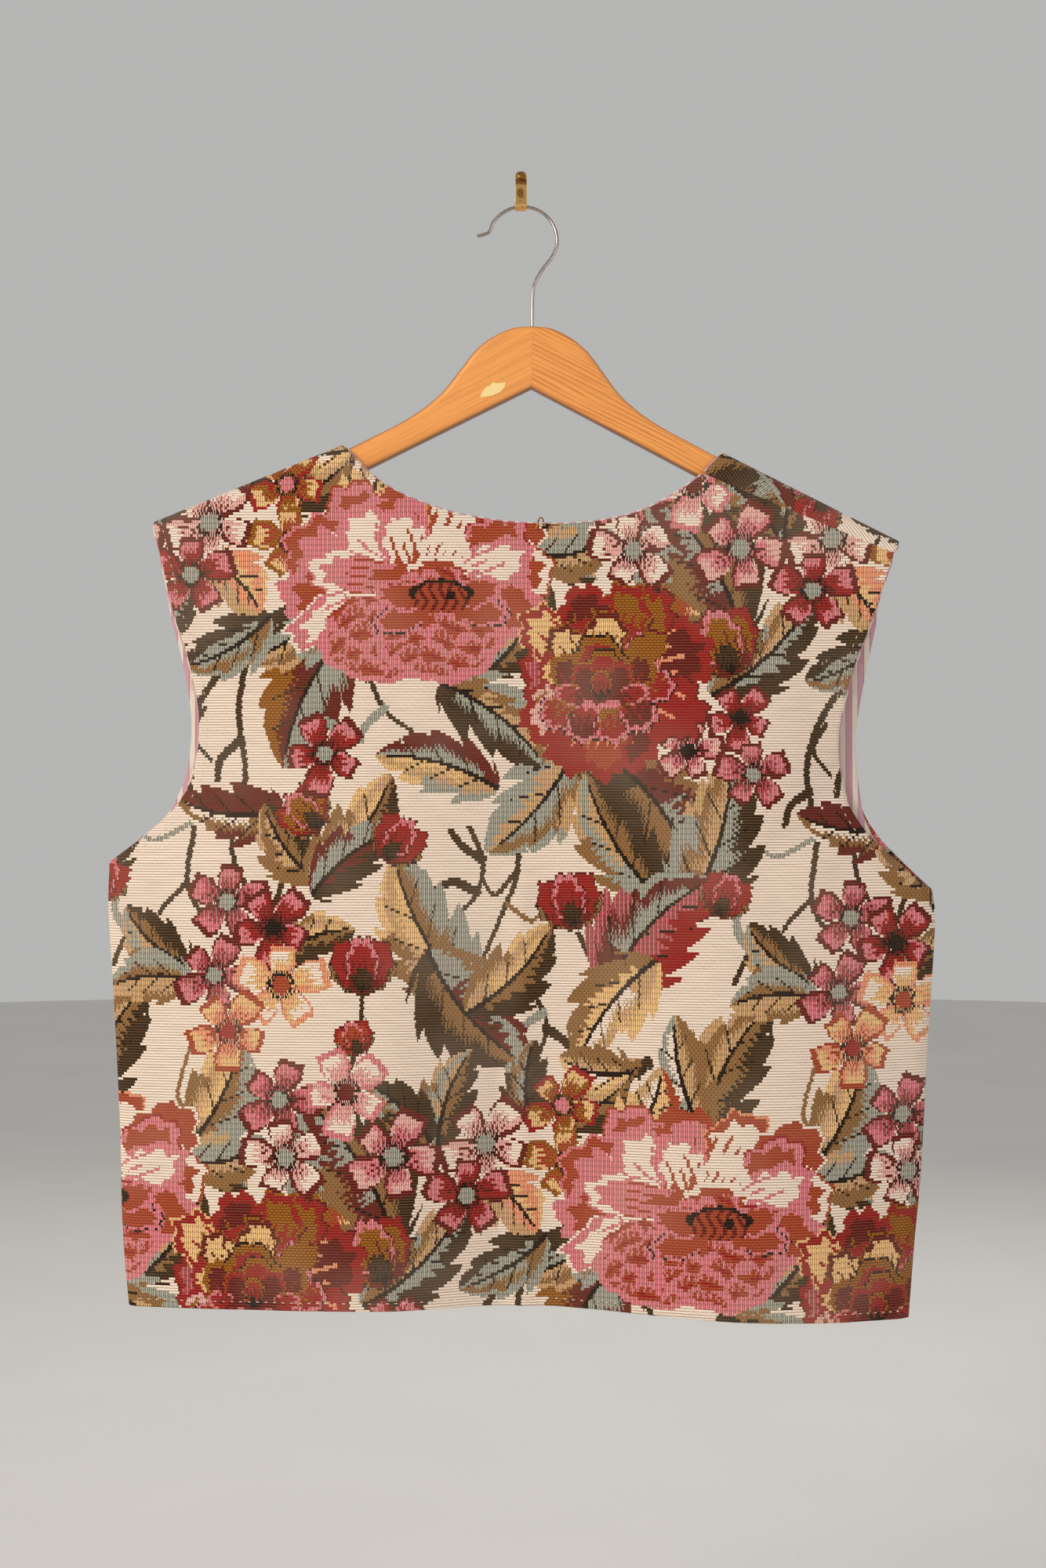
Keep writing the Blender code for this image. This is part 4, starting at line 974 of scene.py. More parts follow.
def add_tapestry(panel, material):
    """A panel's face of woven cells, with its edge turned in behind it."""
    net = cell_net(outline_of(panel.edges, 1.0), STITCH, RIB)
    border = net.flat[net.loop]
    ahead = np.roll(border, -2, axis=0) - np.roll(border, 2, axis=0)
    ahead /= np.maximum(np.linalg.norm(ahead, axis=1, keepdims=True), 1e-9)
    inward = np.column_stack([-ahead[:, 1], ahead[:, 0]])
    flats, points = [net.flat], [cloth_points(panel, net.flat, TAPESTRY / 2)]
    faces, middles, above = [net.cells], [net.middles], net.loop
    seam = on_side_seam(border)
    seam_depth = (back_depth(*border[seam].T) + front_depth(*border[seam].T)) / 2
    for number, (off, inset) in enumerate(TURNED_EDGE):
        below = sum(len(p) for p in points) + np.arange(len(border))
        faces.append(np.stack([above, below, np.roll(below, -1), np.roll(above, -1)], axis=1))
        middles.append(border + inward * EDGE_YARN)
        points.append(cloth_points(panel, border + inward * inset, off))
        if number == PRESSED_ROW:
            points[-1][seam, 1] = seam_depth + (PRESS if panel.near else -PRESS)
        flats.append(border - inward * abs(inset))
        above = below
    faces = np.vstack(faces)
    if not panel.near:
        faces = faces[:, ::-1]
    data = mesh_from(panel.name + "_cloth", np.vstack(points), faces)
    write_cut(data, np.vstack(flats))
    x, z = (np.vstack(middles) + panel.print_shift).T
    ends = STITCH / ENDS_IN_STITCH
    yarns = [painted_yarns(x + ends * (end - 1), z) for end in range(ENDS_IN_STITCH)]
    write_vectors(data, "yarn", "FACE", (np.column_stack(yarns) + 0.5) / len(YARNS))
    return new_object(panel.name + "_cloth", data, [material])


def lining_edge(edge):
    """A lining's edge: it peeps out at the open edges, and stays back at seams and hem."""
    line = evened(edge.line, 2.0)
    if edge.kind == "hem":
        return moved_out(line, HEM_HELD_BACK)
    if edge.kind == "seam":
        at_side = abs(line[0][0]) > SIDE_REACH and max(line[0][1], line[-1][1]) < SIDE_TOP
        return moved_out(line, HELD_BACK if at_side else SEAM_HELD_BACK)
    beside_underarm = (np.abs(line[:, 0]) > CORNER_REACH) & (line[:, 1] < CORNER_TOP)
    easing = np.interp(line[:, 1], CORNER_EASE, [HELD_BACK, -PEEP])
    return moved_out(line, np.where(beside_underarm, easing, -PEEP))


def add_lining(panel, material):
    edges = [Edge(edge.kind, lining_edge(edge)) for edge in panel.edges]
    net = cell_net(outline_of(edges, 2.0), LINING_CELL, LINING_CELL)
    faces = net.cells if panel.near else net.cells[:, ::-1]
    off = -TAPESTRY / 2 - LINING_GAP
    data = mesh_from(panel.name + "_stripes", cloth_points(panel, net.flat, off), faces)
    write_cut(data, net.flat)
    piece = new_object(panel.name + "_stripes", data, [material])
    thicken(piece, LINING, -1.0)
    return piece


# Stitches

STITCH_SIZES = {"Pitch": 5.4, "Length": 2.3, "Thread": 0.55}
HEM_STITCH_INSET, ARMHOLE_STITCH_INSET, STITCH_PROUD = 4.6, 5.0, 0.1
ARMHOLE_REACH = 150.0  # an open edge that stays farther out than this is an armhole


def stitch_tree():
    """Geometry Nodes that set a short bulging stitch at even steps along a line."""
    tree = bpy.data.node_groups.new("running_stitch", "GeometryNodeTree")
    add_socket(tree, "Geometry", "INPUT", "NodeSocketGeometry")
    sockets = {name: add_socket(tree, name, "INPUT") for name in STITCH_SIZES}
    sockets["Material"] = add_socket(tree, "Material", "INPUT", "NodeSocketMaterial")
    add_socket(tree, "Geometry", "OUTPUT", "NodeSocketGeometry")
    graph = Graph(tree)
    given = graph.add("NodeGroupInput").outputs
    curve = graph.add("GeometryNodeMeshToCurve", Mesh=given["Geometry"]).outputs["Curve"]
    steps = graph.add("GeometryNodeResampleCurve", {"mode": "LENGTH"}, Curve=curve, Length=given["Pitch"])
    along = graph.add("GeometryNodeInputTangent").outputs["Tangent"]
    turn = graph.add("FunctionNodeAlignEulerToVector", {"axis": "X"}, Vector=along).outputs["Rotation"]
    bead = graph.add("GeometryNodeMeshUVSphere", Segments=8, Rings=5, Radius=0.5).outputs["Mesh"]
    size = graph.add("ShaderNodeCombineXYZ", X=given["Length"], Y=given["Thread"], Z=given["Thread"])
    stitch = graph.add("GeometryNodeTransform", Geometry=bead, Scale=size.outputs["Vector"])
    placed = graph.add("GeometryNodeInstanceOnPoints", Points=steps.outputs["Curve"])
    graph.feed(placed, "Instance", stitch.outputs["Geometry"])
    graph.feed(placed, "Rotation", turn)
    real = graph.add("GeometryNodeRealizeInstances", Geometry=placed.outputs["Instances"])
    dressed = graph.add("GeometryNodeSetMaterial", Geometry=real.outputs["Geometry"], Material=given["Material"])
    graph.add("NodeGroupOutput", Geometry=dressed.outputs["Geometry"])
    return tree, sockets


def stitched(name, lines, material, tree, sockets):
    """Runs of stitches along lines of points, as one plain mesh."""
    points, edges = [], []
    for line in lines:
        start = len(points)
        points += [tuple(p * MILLIMETRE) for p in line]
        edges += [(k, k + 1) for k in range(start, len(points) - 1)]
    data = bpy.data.meshes.new(name + "_lines")
    data.from_pydata(points, edges, [])
    guide = new_object(name + "_lines", data, [])
    nodes = guide.modifiers.new("Stitches", "NODES")
    nodes.node_group = tree
    for size, length in STITCH_SIZES.items():
        nodes[sockets[size]] = length * MILLIMETRE
    nodes[sockets["Material"]] = material
    plain = plain_mesh(guide)
    plain.shade_smooth()
    return new_object(name, plain, [] if plain.materials else [material])


def add_stitches(panels, material):
    """Pale running stitches inside the armholes and just above the hems."""
    tree, sockets = stitch_tree()
    for panel in panels:
        lines = []
        for edge in panel.edges:
            line = evened(edge.line, 2.0)
            at_armhole = edge.kind == "open" and np.abs(line[:, 0]).min() > ARMHOLE_REACH
            if edge.kind == "hem" or at_armhole:
                inset = ARMHOLE_STITCH_INSET if at_armhole else HEM_STITCH_INSET
                flat = moved_out(line, inset)[4:-4]
                lines.append(cloth_points(panel, flat, TAPESTRY / 2 + STITCH_PROUD))
        finished(stitched(panel.name + "_stitches", lines, material, tree, sockets), "tapestry")


# Hanger

HANGER_X, HANGER_TOP = 7.0, -89.8
HANGER_TILT, ARM_SLOPE = math.radians(0.8), math.radians(27.1)
ARM_DEPTH, ARM_THICK, ARM_ROUND, ARM_REACH = 17.6, 12.2, 4.0, 224.5
NOTCH_DROP, MITRE_GAP, WIRE_BORE_DEPTH = 39.2, 0.04, 22.0
HUMP = [(0, 0), (8, -0.4), (15, -2.2), (25, -7.2), (35, -15.3), (45, -28.2), (55, -41.4), (65, -50.5)]
HUMP += [(75, -57.7), (85, -63.7)]
# An arm's end: how far past its reach, and what share of its depth up.
ARM_END = [(-1.5, 1.0), (1.0, 0.88), (2.0, 0.72), (2.0, 0.3), (0.6, 0.08)]
ARM_END_FOOT = 2.5
LABEL_SCRAP = [(-25.8, -135.2), (-24.5, -131.9), (-22.1, -129.0), (-20.2, -127.6), (-19.6, -128.5), (-18.8, -126.9)]
LABEL_SCRAP += [(-18.1, -125.9), (-16.2, -126.0), (-14.7, -126.3), (-12.3, -126.0), (-9.3, -125.7), (-10.2, -127.6)]
LABEL_SCRAP += [(-9.8, -128.2), (-10.9, -129.6), (-13.1, -131.9), (-15.4, -132.9), (-17.8, -133.9), (-20.5, -134.5)]
PAPER, PAPER_LIFT = 0.1, 0.12


def hanger_outline():
    """Half the hanger's outline from its apex out, as distance from the middle and height."""
    slope = math.tan(ARM_SLOPE)
    fall = ARM_DEPTH / math.cos(ARM_SLOPE)
    foot = -NOTCH_DROP - slope * ARM_REACH
    end = [(ARM_REACH + past, foot + fall * share) for past, share in ARM_END]
    end += [(ARM_REACH - ARM_END_FOOT, foot + slope * ARM_END_FOOT)]
    hump = [tuple(p) for p in spline_through(HUMP, 4)]
    return hump + end + [(0, -NOTCH_DROP)]


def hanger_place(distance, height):
    x = HANGER_X + distance * math.cos(HANGER_TILT) + height * math.sin(HANGER_TILT)
    z = HANGER_TOP + height * math.cos(HANGER_TILT) - distance * math.sin(HANGER_TILT)
    return x, z


def run_curve(name, dimensions, places):
    """A curve of straight runs through places in millimetres."""
    curve = bpy.data.curves.new(name, "CURVE")
    curve.dimensions = dimensions
    curve.bevel_resolution = 5
    spline = curve.splines.new("POLY")
    spline.points.add(len(places) - 1)
    for point, place in zip(spline.points, np.array(places) * MILLIMETRE):
        point.co = (*place, 1.0)
    return curve, spline


def hanger_board():
    """The whole hanger as one rounded board, before it is parted at the mitre."""
    half = hanger_outline()
    outline = half + [(-d, h) for d, h in reversed(half[1:-1])]
    curve, spline = run_curve("hanger_board", "2D", [(*hanger_place(*place), 0.0) for place in outline])
    spline.use_cyclic_u = True
    curve.fill_mode = "BOTH"
    curve.extrude = (ARM_THICK / 2 - ARM_ROUND) * MILLIMETRE
    curve.bevel_depth = ARM_ROUND * MILLIMETRE
    curve.offset = -ARM_ROUND * MILLIMETRE
    data = plain_mesh(new_object("hanger_board", curve, []))
    turn = Matrix.Rotation(math.pi / 2, 4, "X")
    data.transform(Matrix.Translation((0.0, HANGER_Y * MILLIMETRE, 0.0)) @ turn)
    return data


def add_arm(name, side, board, material):
    """One arm of the hanger, parted from the board at the mitre."""
    mesh = bmesh.new()
    mesh.from_mesh(board)
    bmesh.ops.remove_doubles(mesh, verts=mesh.verts, dist=0.00002)
    mitre = Vector((HANGER_X + side * MITRE_GAP / 2, HANGER_Y, HANGER_TOP)) * MILLIMETRE
    everything = mesh.verts[:] + mesh.edges[:] + mesh.faces[:]
    cut = bmesh.ops.bisect_plane(mesh, geom=everything, plane_co=mitre, plane_no=(-side, 0, 0), clear_outer=True)
    rim = [item for item in cut["geom_cut"] if isinstance(item, bmesh.types.BMEdge)]
    bmesh.ops.edgenet_fill(mesh, edges=rim)
    bmesh.ops.recalc_face_normals(mesh, faces=mesh.faces)
    data = mesh_of(name, mesh)
    data.set_sharp_from_angle(angle=math.radians(40))
    arm = new_object(name, data, [material])
    arm.modifiers.new("Even shading", "WEIGHTED_NORMAL").keep_sharp = True
    return arm


def add_label_scrap(material):
    """The torn rest of a bare paper label on the left arm, pointed at one end."""
    face_y = HANGER_Y - ARM_THICK / 2 - PAPER_LIFT
    points = [(x, face_y, z) for x, z in LABEL_SCRAP]
    data = mesh_from("label_scrap", points, [range(len(points))])
    data.shade_flat()
    piece = new_object("label_scrap", data, [material])
    thicken(piece, PAPER, 0.0)
    return piece


# Wires and wall hook

WIRE = 2.3
WIRE_ARC, WIRE_ARC_RADIUS = (1.0, -34.0), 21.8
WIRE_ARC_FROM, WIRE_ARC_TO = math.radians(-14), math.radians(150)
WIRE_CREST_Y = -5.3
STRIP, STRIP_WIDTH, STRIP_TOP, STRIP_WEAR = 0.8, 7.3, 11.2, 0.16
CRADLE_RADIUS, CRADLE_Z, LIP_TOP = 4.9, -9.75, 0.3
FLAP_FOOT, FLAP_TOP, PIN_HEAD = (-5.6, 5.4), (-2.6, 9.7), 5.8
LOOP_WIRE, LOOP_X = 0.9, 11.6


def add_wire(name, points, diameter, material):
    curve, spline = run_curve(name, "3D", points)
    spline.use_smooth = True
    curve.bevel_depth = diameter / 2 * MILLIMETRE
    curve.use_fill_caps = True
    return new_object(name, curve, [material])


def add_hook_wire(material):
    """Shank, swan neck, arch over the wall hook, and the tip turned out."""
    cx, cz = WIRE_ARC
    angles = np.linspace(WIRE_ARC_FROM, WIRE_ARC_TO, 15)
    arch = [(cx + WIRE_ARC_RADIUS * math.cos(a), cz + WIRE_ARC_RADIUS * math.sin(a)) for a in angles]
    shank = [(7.0, HANGER_TOP - WIRE_BORE_DEPTH + 4.0), (7.0, -95.0), (7.1, -80.0)]
    swan_neck = [(7.5, -67.5), (9.6, -60.0), (14.0, -52.2), (19.3, -45.2)]
    tip = [(-19.3, -27.4), (-21.6, -29.6), (-27.8, -31.4)]
    flat = spline_through(shank + swan_neck + arch + tip, 6)
    crest = cz + WIRE_ARC_RADIUS
    share = np.clip((crest - flat[:, 1]) / (crest - HANGER_TOP - 8.0), 0, 1)
    y = WIRE_CREST_Y + share * (HANGER_Y - WIRE_CREST_Y)
    return add_wire("hook_wire", np.column_stack([flat[:, 0], y, flat[:, 1]]), WIRE, material)


def add_brass_loop(material):
    """The loop over the back's neckline, one leg on each side of the cloth."""
    rim_z = BACK_NECK[4][1]
    middle = float(section_value("valley", rim_z))
    outer = middle - TAPESTRY / 2 - LOOP_WIRE / 2 - 0.8
    inner = middle + 3.55
    route = [
        (LOOP_X - 2.4, outer, rim_z - 3.2),
        (LOOP_X - 1.6, outer, rim_z - 0.8),
        (LOOP_X - 0.9, outer, rim_z + 1.6),
        (LOOP_X + 0.2, middle - 1.2, rim_z + 3.9),
        (LOOP_X + 1.7, middle + 1.0, rim_z + 4.0),
        (LOOP_X + 2.3, inner, rim_z + 2.0),
        (LOOP_X + 1.4, inner, rim_z - 0.6),
        (LOOP_X + 0.3, inner, rim_z - 3.0),
    ]
    return add_wire("brass_loop", spline_through(route, 6), LOOP_WIRE, material)


def strip_profile():
    """The bent strip from its flap, round the top, down the wall, through the cradle and up the lip."""
    back = -STRIP / 2
    flap = [FLAP_FOOT, (-4.1, 7.6), FLAP_TOP]
    turn = [(-1.7, STRIP_TOP - 0.5), (-1.0, STRIP_TOP - 0.25), (back, STRIP_TOP - 1.0)]
    wall = [(back, 6.0), (back, 0.5), (back, CRADLE_Z)]
    centre = back - CRADLE_RADIUS
    cradle = []
    for step in range(1, 17):
        angle = -math.pi * step / 16
        cradle.append((centre + CRADLE_RADIUS * math.cos(angle), CRADLE_Z + CRADLE_RADIUS * math.sin(angle)))
    lip = [(centre - CRADLE_RADIUS - 0.1, CRADLE_Z / 2), (centre - CRADLE_RADIUS - 0.2, LIP_TOP)]
    return flap + turn + wall + cradle + lip


def add_wall_strip(material):
    mesh = bmesh.new()
    rows = []
    for y, z in strip_profile():
        half = STRIP_WIDTH / 2
        over = max(0.0, z - (STRIP_TOP - half))
        half = math.sqrt(max(0.6, half * half - over * over))
        rows.append([mesh.verts.new(Vector((x, y, z)) * MILLIMETRE) for x in (-half, 0.0, half)])
    for first, second in zip(rows[:-1], rows[1:]):
        for k in (0, 1):
            mesh.faces.new((first[k], first[k + 1], second[k + 1], second[k]))
    strip = new_object("wall_strip", mesh_of("wall_strip", mesh), [material])
    thicken(strip, STRIP, 0.0).use_even_offset = True
    edge = strip.modifiers.new("Worn edges", "BEVEL")
    edge.width = STRIP_WEAR * MILLIMETRE
    edge.segments = 2
    edge.limit_method = "ANGLE"
    strip.modifiers.new("Even shading", "WEIGHTED_NORMAL")
    return strip


def turned_round(profile, sides):
    """The points and faces of a solid turned about an axis; the profile starts and ends on it."""
    angles = [2 * math.pi * k / sides for k in range(sides)]
    points = [(0.0, 0.0, profile[0][1])]
    points += [(r * math.cos(a), r * math.sin(a), h) for r, h in profile[1:-1] for a in angles]
    points.append((0.0, 0.0, profile[-1][1]))
    foot = len(points) - 1
    faces = []
    for k in range(sides):
        after = (k + 1) % sides
        faces += [(0, 1 + k, 1 + after), (foot, foot - sides + after, foot - sides + k)]
        for ring in range(1, foot - sides, sides):
            below = ring + sides
            faces.append((ring + k, below + k, below + after, ring + after))
    return points, faces


def add_pin_head(material):
    """The domed head of the nail, on the flap."""
    foot, top = np.array(FLAP_FOOT), np.array(FLAP_TOP)
    along = (top - foot) / np.linalg.norm(top - foot)
    out = np.array([-along[1], along[0]])
    middle = (foot + top) / 2 + out * (STRIP / 2 + SEAM)
    rim = PIN_HEAD / 2
    dome = [(rim * math.sin(a), 0.3 + 1.2 * math.cos(a)) for a in np.linspace(0, math.pi / 2, 9)]
    profile = dome + [(rim, 0.0), (0.0, 0.0)]
    data = mesh_from("pin_head", *turned_round(profile, 28))
    turn = Matrix.Rotation(math.atan2(-out[0], out[1]), 4, "X")
    data.transform(Matrix.Translation((0.0, middle[0] * MILLIMETRE, middle[1] * MILLIMETRE)) @ turn)
    data.set_sharp_from_angle(angle=math.radians(50))
    return new_object("pin_head", data, [material])


# Materials


def linear(colour):
    return tuple(c / 12.92 if c <= 0.04045 else ((c + 0.055) / 1.055) ** 2.4 for c in colour) + (1.0,)


class Graph:
    """A node tree being built: each call adds a node, sets or links its inputs and gives it back."""

    def __init__(self, tree):
        self.tree = tree

    def add(self, kind, settings=None, **inputs):
        node = self.tree.nodes.new(kind)
        for name, value in (settings or {}).items():
            setattr(node, name, value)
        for name, value in inputs.items():
            self.feed(node, name.replace("_", " "), value)
        return node

    def feed(self, node, name, value):
        socket = node.inputs[int(name[1:])] if name[0] == "n" and name[1:].isdigit() else node.inputs[name]
        if isinstance(value, bpy.types.NodeSocket):
            self.tree.links.new(value, socket)
        else:
            socket.default_value = value

    def math(self, operation, first, second=0.0):
        return self.add("ShaderNodeMath", {"operation": operation}, n0=first, n1=second).outputs[0]

    def ease(self, value, low, high, to_low=0.0, to_high=1.0):
        span = {"From_Min": low, "From_Max": high, "To_Min": to_low, "To_Max": to_high}
        node = self.add("ShaderNodeMapRange", {"interpolation_type": "SMOOTHSTEP"}, Value=value, **span)
        return node.outputs["Result"]

    def mix(self, share, first, second):
        return self.add("ShaderNodeMix", {"data_type": "RGBA"}, n0=share, n6=first, n7=second).outputs[2]

    def tint(self, colour, mask, low, high, most, towards):
        """Takes a colour towards another where the mask goes from low to high."""
        return self.mix(self.ease(mask, low, high, 0.0, most), colour, linear(towards))

    def bands(self, value, stops):
        node = self.add("ShaderNodeValToRGB", Fac=value)
        colours = node.color_ramp
        colours.interpolation = "CONSTANT"
        while len(colours.elements) < len(stops):
            colours.elements.new(1.0)
        for element, (place, colour) in zip(colours.elements, stops):
            element.position, element.color = place, colour
        return node.outputs["Color"]

    def split(self, vector):
        return self.add("ShaderNodeSeparateXYZ", Vector=vector).outputs

    def scaled(self, vector, scale):
        return self.add("ShaderNodeMapping", Vector=vector, Scale=scale).outputs[0]

    def attribute(self, name):
        return self.add("ShaderNodeAttribute", {"attribute_name": name}).outputs["Vector"]

    def object_place(self):
        return self.add("ShaderNodeTexCoord").outputs["Object"]

    def noise(self, vector, scale, detail=2.0):
        return self.add("ShaderNodeTexNoise", Vector=vector, Scale=scale, Detail=detail).outputs["Fac"]

    def bump(self, height, distance, strength=1.0):
        node = self.add("ShaderNodeBump", Height=height, Distance=distance, Strength=strength)
        return node.outputs["Normal"]


def new_material(name):
    material = bpy.data.materials.new(name)
    material.use_nodes = True
    return material, Graph(material.node_tree)


def dress(material, graph, colour, roughness, normal=None, **constants):
    """Feeds what changes over the surface to the shader, and sets what doesn't on its own sockets."""
    shader = material.node_tree.nodes["Principled BSDF"]
    graph.feed(shader, "Base Color", colour)
    graph.feed(shader, "Roughness", roughness)
    if normal:
        graph.feed(shader, "Normal", normal)
    for name, value in constants.items():
        graph.feed(shader, name.replace("_", " "), value)
    return material


def add_socket(tree, name, way, kind="NodeSocketFloat"):
    return tree.interface.new_socket(name=name, in_out=way, socket_type=kind).identifier


def shader_group(name, vector, inputs, outputs):
    tree = bpy.data.node_groups.new(name, "ShaderNodeTree")
    add_socket(tree, vector, "INPUT", "NodeSocketVector")
    for way, names in (("INPUT", inputs), ("OUTPUT", outputs)):
        for socket in names:
            add_socket(tree, socket, way)
    graph = Graph(tree)
    return tree, graph, graph.add("NodeGroupInput").outputs, graph.add("NodeGroupOutput")


DOT_PITCH, DOT_SHIFT = 5.4, 0.37  # the dark dots between plain ribs, and each row's shift as a share


def weave_group():
    """Ribs of weft where the cloth is plain, and upright strands where a motif is thick."""
    takes, gives = ("Rib", "Strand", "Upright", "Dashed"), ("Binder", "Tick", "Pale", "Height")
    tree, graph, given, end = shader_group("tapestry_weave", "Cut", takes, gives)
    place = graph.split(given["Cut"])
    x, z = place["X"], place["Y"]
    rib, strand, upright, dashed = (given[name] for name in takes)
    do = graph.math
    in_pairs = do("DIVIDE", x, do("MULTIPLY", strand, 2.0))

    def round_top(value):
        """From 0 at both ends of a period to 1 at its middle."""
        wave = do("SUBTRACT", do("MULTIPLY", do("FRACT", value), 2.0), 1.0)
        return do("SUBTRACT", 1.0, do("MULTIPLY", wave, wave))

    across = do("DIVIDE", z, rib)
    row = do("FLOOR", across)
    rib_top = round_top(across)
    half_row = do("FRACT", do("MULTIPLY", row, 0.5))
    dash = round_top(do("ADD", in_pairs, half_row))
    flat_height = do("MULTIPLY", rib_top, do("ADD", 0.75, do("MULTIPLY", dash, 0.25)))
    strand_top = round_top(do("DIVIDE", x, strand))
    between_ribs = graph.ease(rib_top, 0.56, 0.22)
    flat_binder = do("MULTIPLY", between_ribs, graph.ease(strand_top, 0.0, 0.5, 0.62, 1.0))
    between_dashes = do("MULTIPLY", graph.ease(dash, 0.46, 0.20), dashed)
    dot_place = do("ADD", do("DIVIDE", x, DOT_PITCH), do("MULTIPLY", row, DOT_SHIFT))
    dot = do("MULTIPLY", graph.ease(round_top(dot_place), 0.36, 0.22), between_ribs)
    flat_tick = do("MAXIMUM", between_dashes, do("MULTIPLY", dot, do("SUBTRACT", 1.0, dashed)))

    tick_row = do("DIVIDE", z, do("MULTIPLY", rib, 2.0))
    shift = do("FRACT", do("MULTIPLY", do("FLOOR", tick_row), 0.5))
    tick_column = round_top(do("ADD", in_pairs, shift))
    tick = do("MULTIPLY", graph.ease(tick_column, 0.62, 0.36), graph.ease(round_top(tick_row), 0.64, 0.36))
    upright_height = do("SUBTRACT", strand_top, do("MULTIPLY", tick, 0.6))
    upright_binder = graph.ease(strand_top, 0.62, 0.22)

    graph.feed(end, "Pale", do("MULTIPLY", upright, do("LESS_THAN", do("FRACT", in_pairs), 0.5)))

    def either(flat, standing):
        return do("ADD", flat, do("MULTIPLY", upright, do("SUBTRACT", standing, flat)))

    graph.feed(end, "Binder", either(flat_binder, upright_binder))
    graph.feed(end, "Tick", either(flat_tick, tick))
    graph.feed(end, "Height", either(flat_height, upright_height))
    return tree


def tapestry_material(weave):
    """Cotton tapestry: the yarn of each warp end over its binder, in ribs or strands."""
    material, graph = new_material("floral_tapestry")
    cut = graph.attribute("cut")
    yarns = graph.split(graph.attribute("yarn"))
    across = graph.math("DIVIDE", graph.split(cut)["X"], STITCH)
    end = graph.math("MULTIPLY", graph.math("FRACT", across), ENDS_IN_STITCH)
    yarn = yarns["Z"]
    for limit, name in ((2.0, "Y"), (1.0, "X")):
        nearer = graph.add("ShaderNodeMix", {"data_type": "FLOAT"}, n2=yarn, n3=yarns[name])
        graph.feed(nearer, "n0", graph.math("LESS_THAN", end, limit))
        yarn = nearer.outputs[0]
    starts = [k / len(YARNS) for k in range(len(YARNS))]
    face = graph.bands(yarn, [(start, linear(y.face)) for start, y in zip(starts, YARNS)])
    binder = graph.bands(yarn, [(start, linear(y.binder)) for start, y in zip(starts, YARNS)])
    kinds = graph.bands(yarn, [(start, (y.upright, y.dashed, 0.0, 1.0)) for start, y in zip(starts, YARNS)])
    kind = graph.add("ShaderNodeSeparateColor", Color=kinds).outputs
    woven = graph.add("ShaderNodeGroup", {"node_tree": weave}, Cut=cut, Rib=RIB, Strand=STRAND, Upright=kind["Red"])
    graph.feed(woven, "Dashed", kind["Green"])
    show, colour, lit, dark = woven.outputs, face, linear((0.96, 0.88, 0.80)), linear((0.16, 0.10, 0.07))
    for mark, most, towards in (("Binder", 0.92, binder), ("Pale", 0.20, lit), ("Tick", 0.72, dark)):
        colour = graph.mix(graph.math("MULTIPLY", show[mark], most), colour, towards)
    slub = graph.noise(graph.scaled(cut, (0.05, 0.6, 1.0)), 1.0, 3.0)
    colour = graph.tint(colour, slub, 0.35, 0.75, 0.14, (0.45, 0.33, 0.25))
    colour = graph.tint(colour, graph.noise(cut, 0.012), 0.4, 0.7, 0.08, (0.93, 0.84, 0.74))
    roughness = graph.ease(show["Height"], 0.0, 1.0, 0.95, 0.72)
    normal = graph.bump(show["Height"], 0.00045, 0.9)
    soft_finish = {"Sheen_Weight": 0.05, "Sheen_Roughness": 0.5, "Specular_IOR_Level": 0.12}
    return dress(material, graph, colour, roughness, normal, **soft_finish)


def lining_material():
    """Thin shirting with upright stripes in lilac-rose and cream."""
    material, graph = new_material("striped_lining")
    cut = graph.attribute("cut")
    place = graph.split(cut)
    phase = graph.math("FRACT", graph.math("DIVIDE", place["X"], LINING_STRIPE))
    lilac, cream, rose = (0.83, 0.62, 0.66), (0.93, 0.87, 0.79), (0.76, 0.52, 0.57)
    stops = [(0.0, lilac), (0.42, rose), (0.50, cream), (0.94, rose)]
    colour = graph.bands(phase, [(start, linear(shade)) for start, shade in stops])
    fine = graph.math("SINE", graph.math("MULTIPLY", place["X"], 9.0))
    finer = graph.math("SINE", graph.math("MULTIPLY", place["Y"], 8.4))
    thread = graph.math("MULTIPLY", fine, finer)
    colour = graph.tint(colour, thread, -1.0, 1.0, 0.12, (0.58, 0.44, 0.44))
    roughness = graph.ease(graph.noise(cut, 0.08), 0.3, 0.7, 0.62, 0.8)
    return dress(material, graph, colour, roughness, graph.bump(thread, 0.00006))


def wood_grain_group():
    """Growth rings cut lengthways, with pores and a fine fibre."""
    tree, graph, given, end = shader_group("wood_grain", "Vector", ("Rings", "Sway"), ("Ring", "Fibre"))
    do, vector = graph.math, given["Vector"]
    sway = graph.noise(graph.scaled(vector, (7.0, 60.0, 60.0)), 1.0)
    place = graph.split(vector)
    across = do("ADD", place["Z"], do("MULTIPLY", place["Y"], 0.55))
    saw = do("FRACT", do("ADD", do("MULTIPLY", across, given["Rings"]), do("MULTIPLY", sway, given["Sway"])))
    line = do("MULTIPLY", graph.ease(saw, 0.42, 0.90), graph.ease(saw, 1.0, 0.93))
    patches = graph.noise(graph.scaled(vector, (26.0, 150.0, 150.0)), 1.0)
    graph.feed(end, "Ring", do("MULTIPLY", line, graph.ease(patches, 0.30, 0.66, 0.25, 1.0)))
    graph.feed(end, "Fibre", graph.noise(graph.scaled(vector, (40.0, 1400.0, 1400.0)), 1.0, 3.0))
    return tree


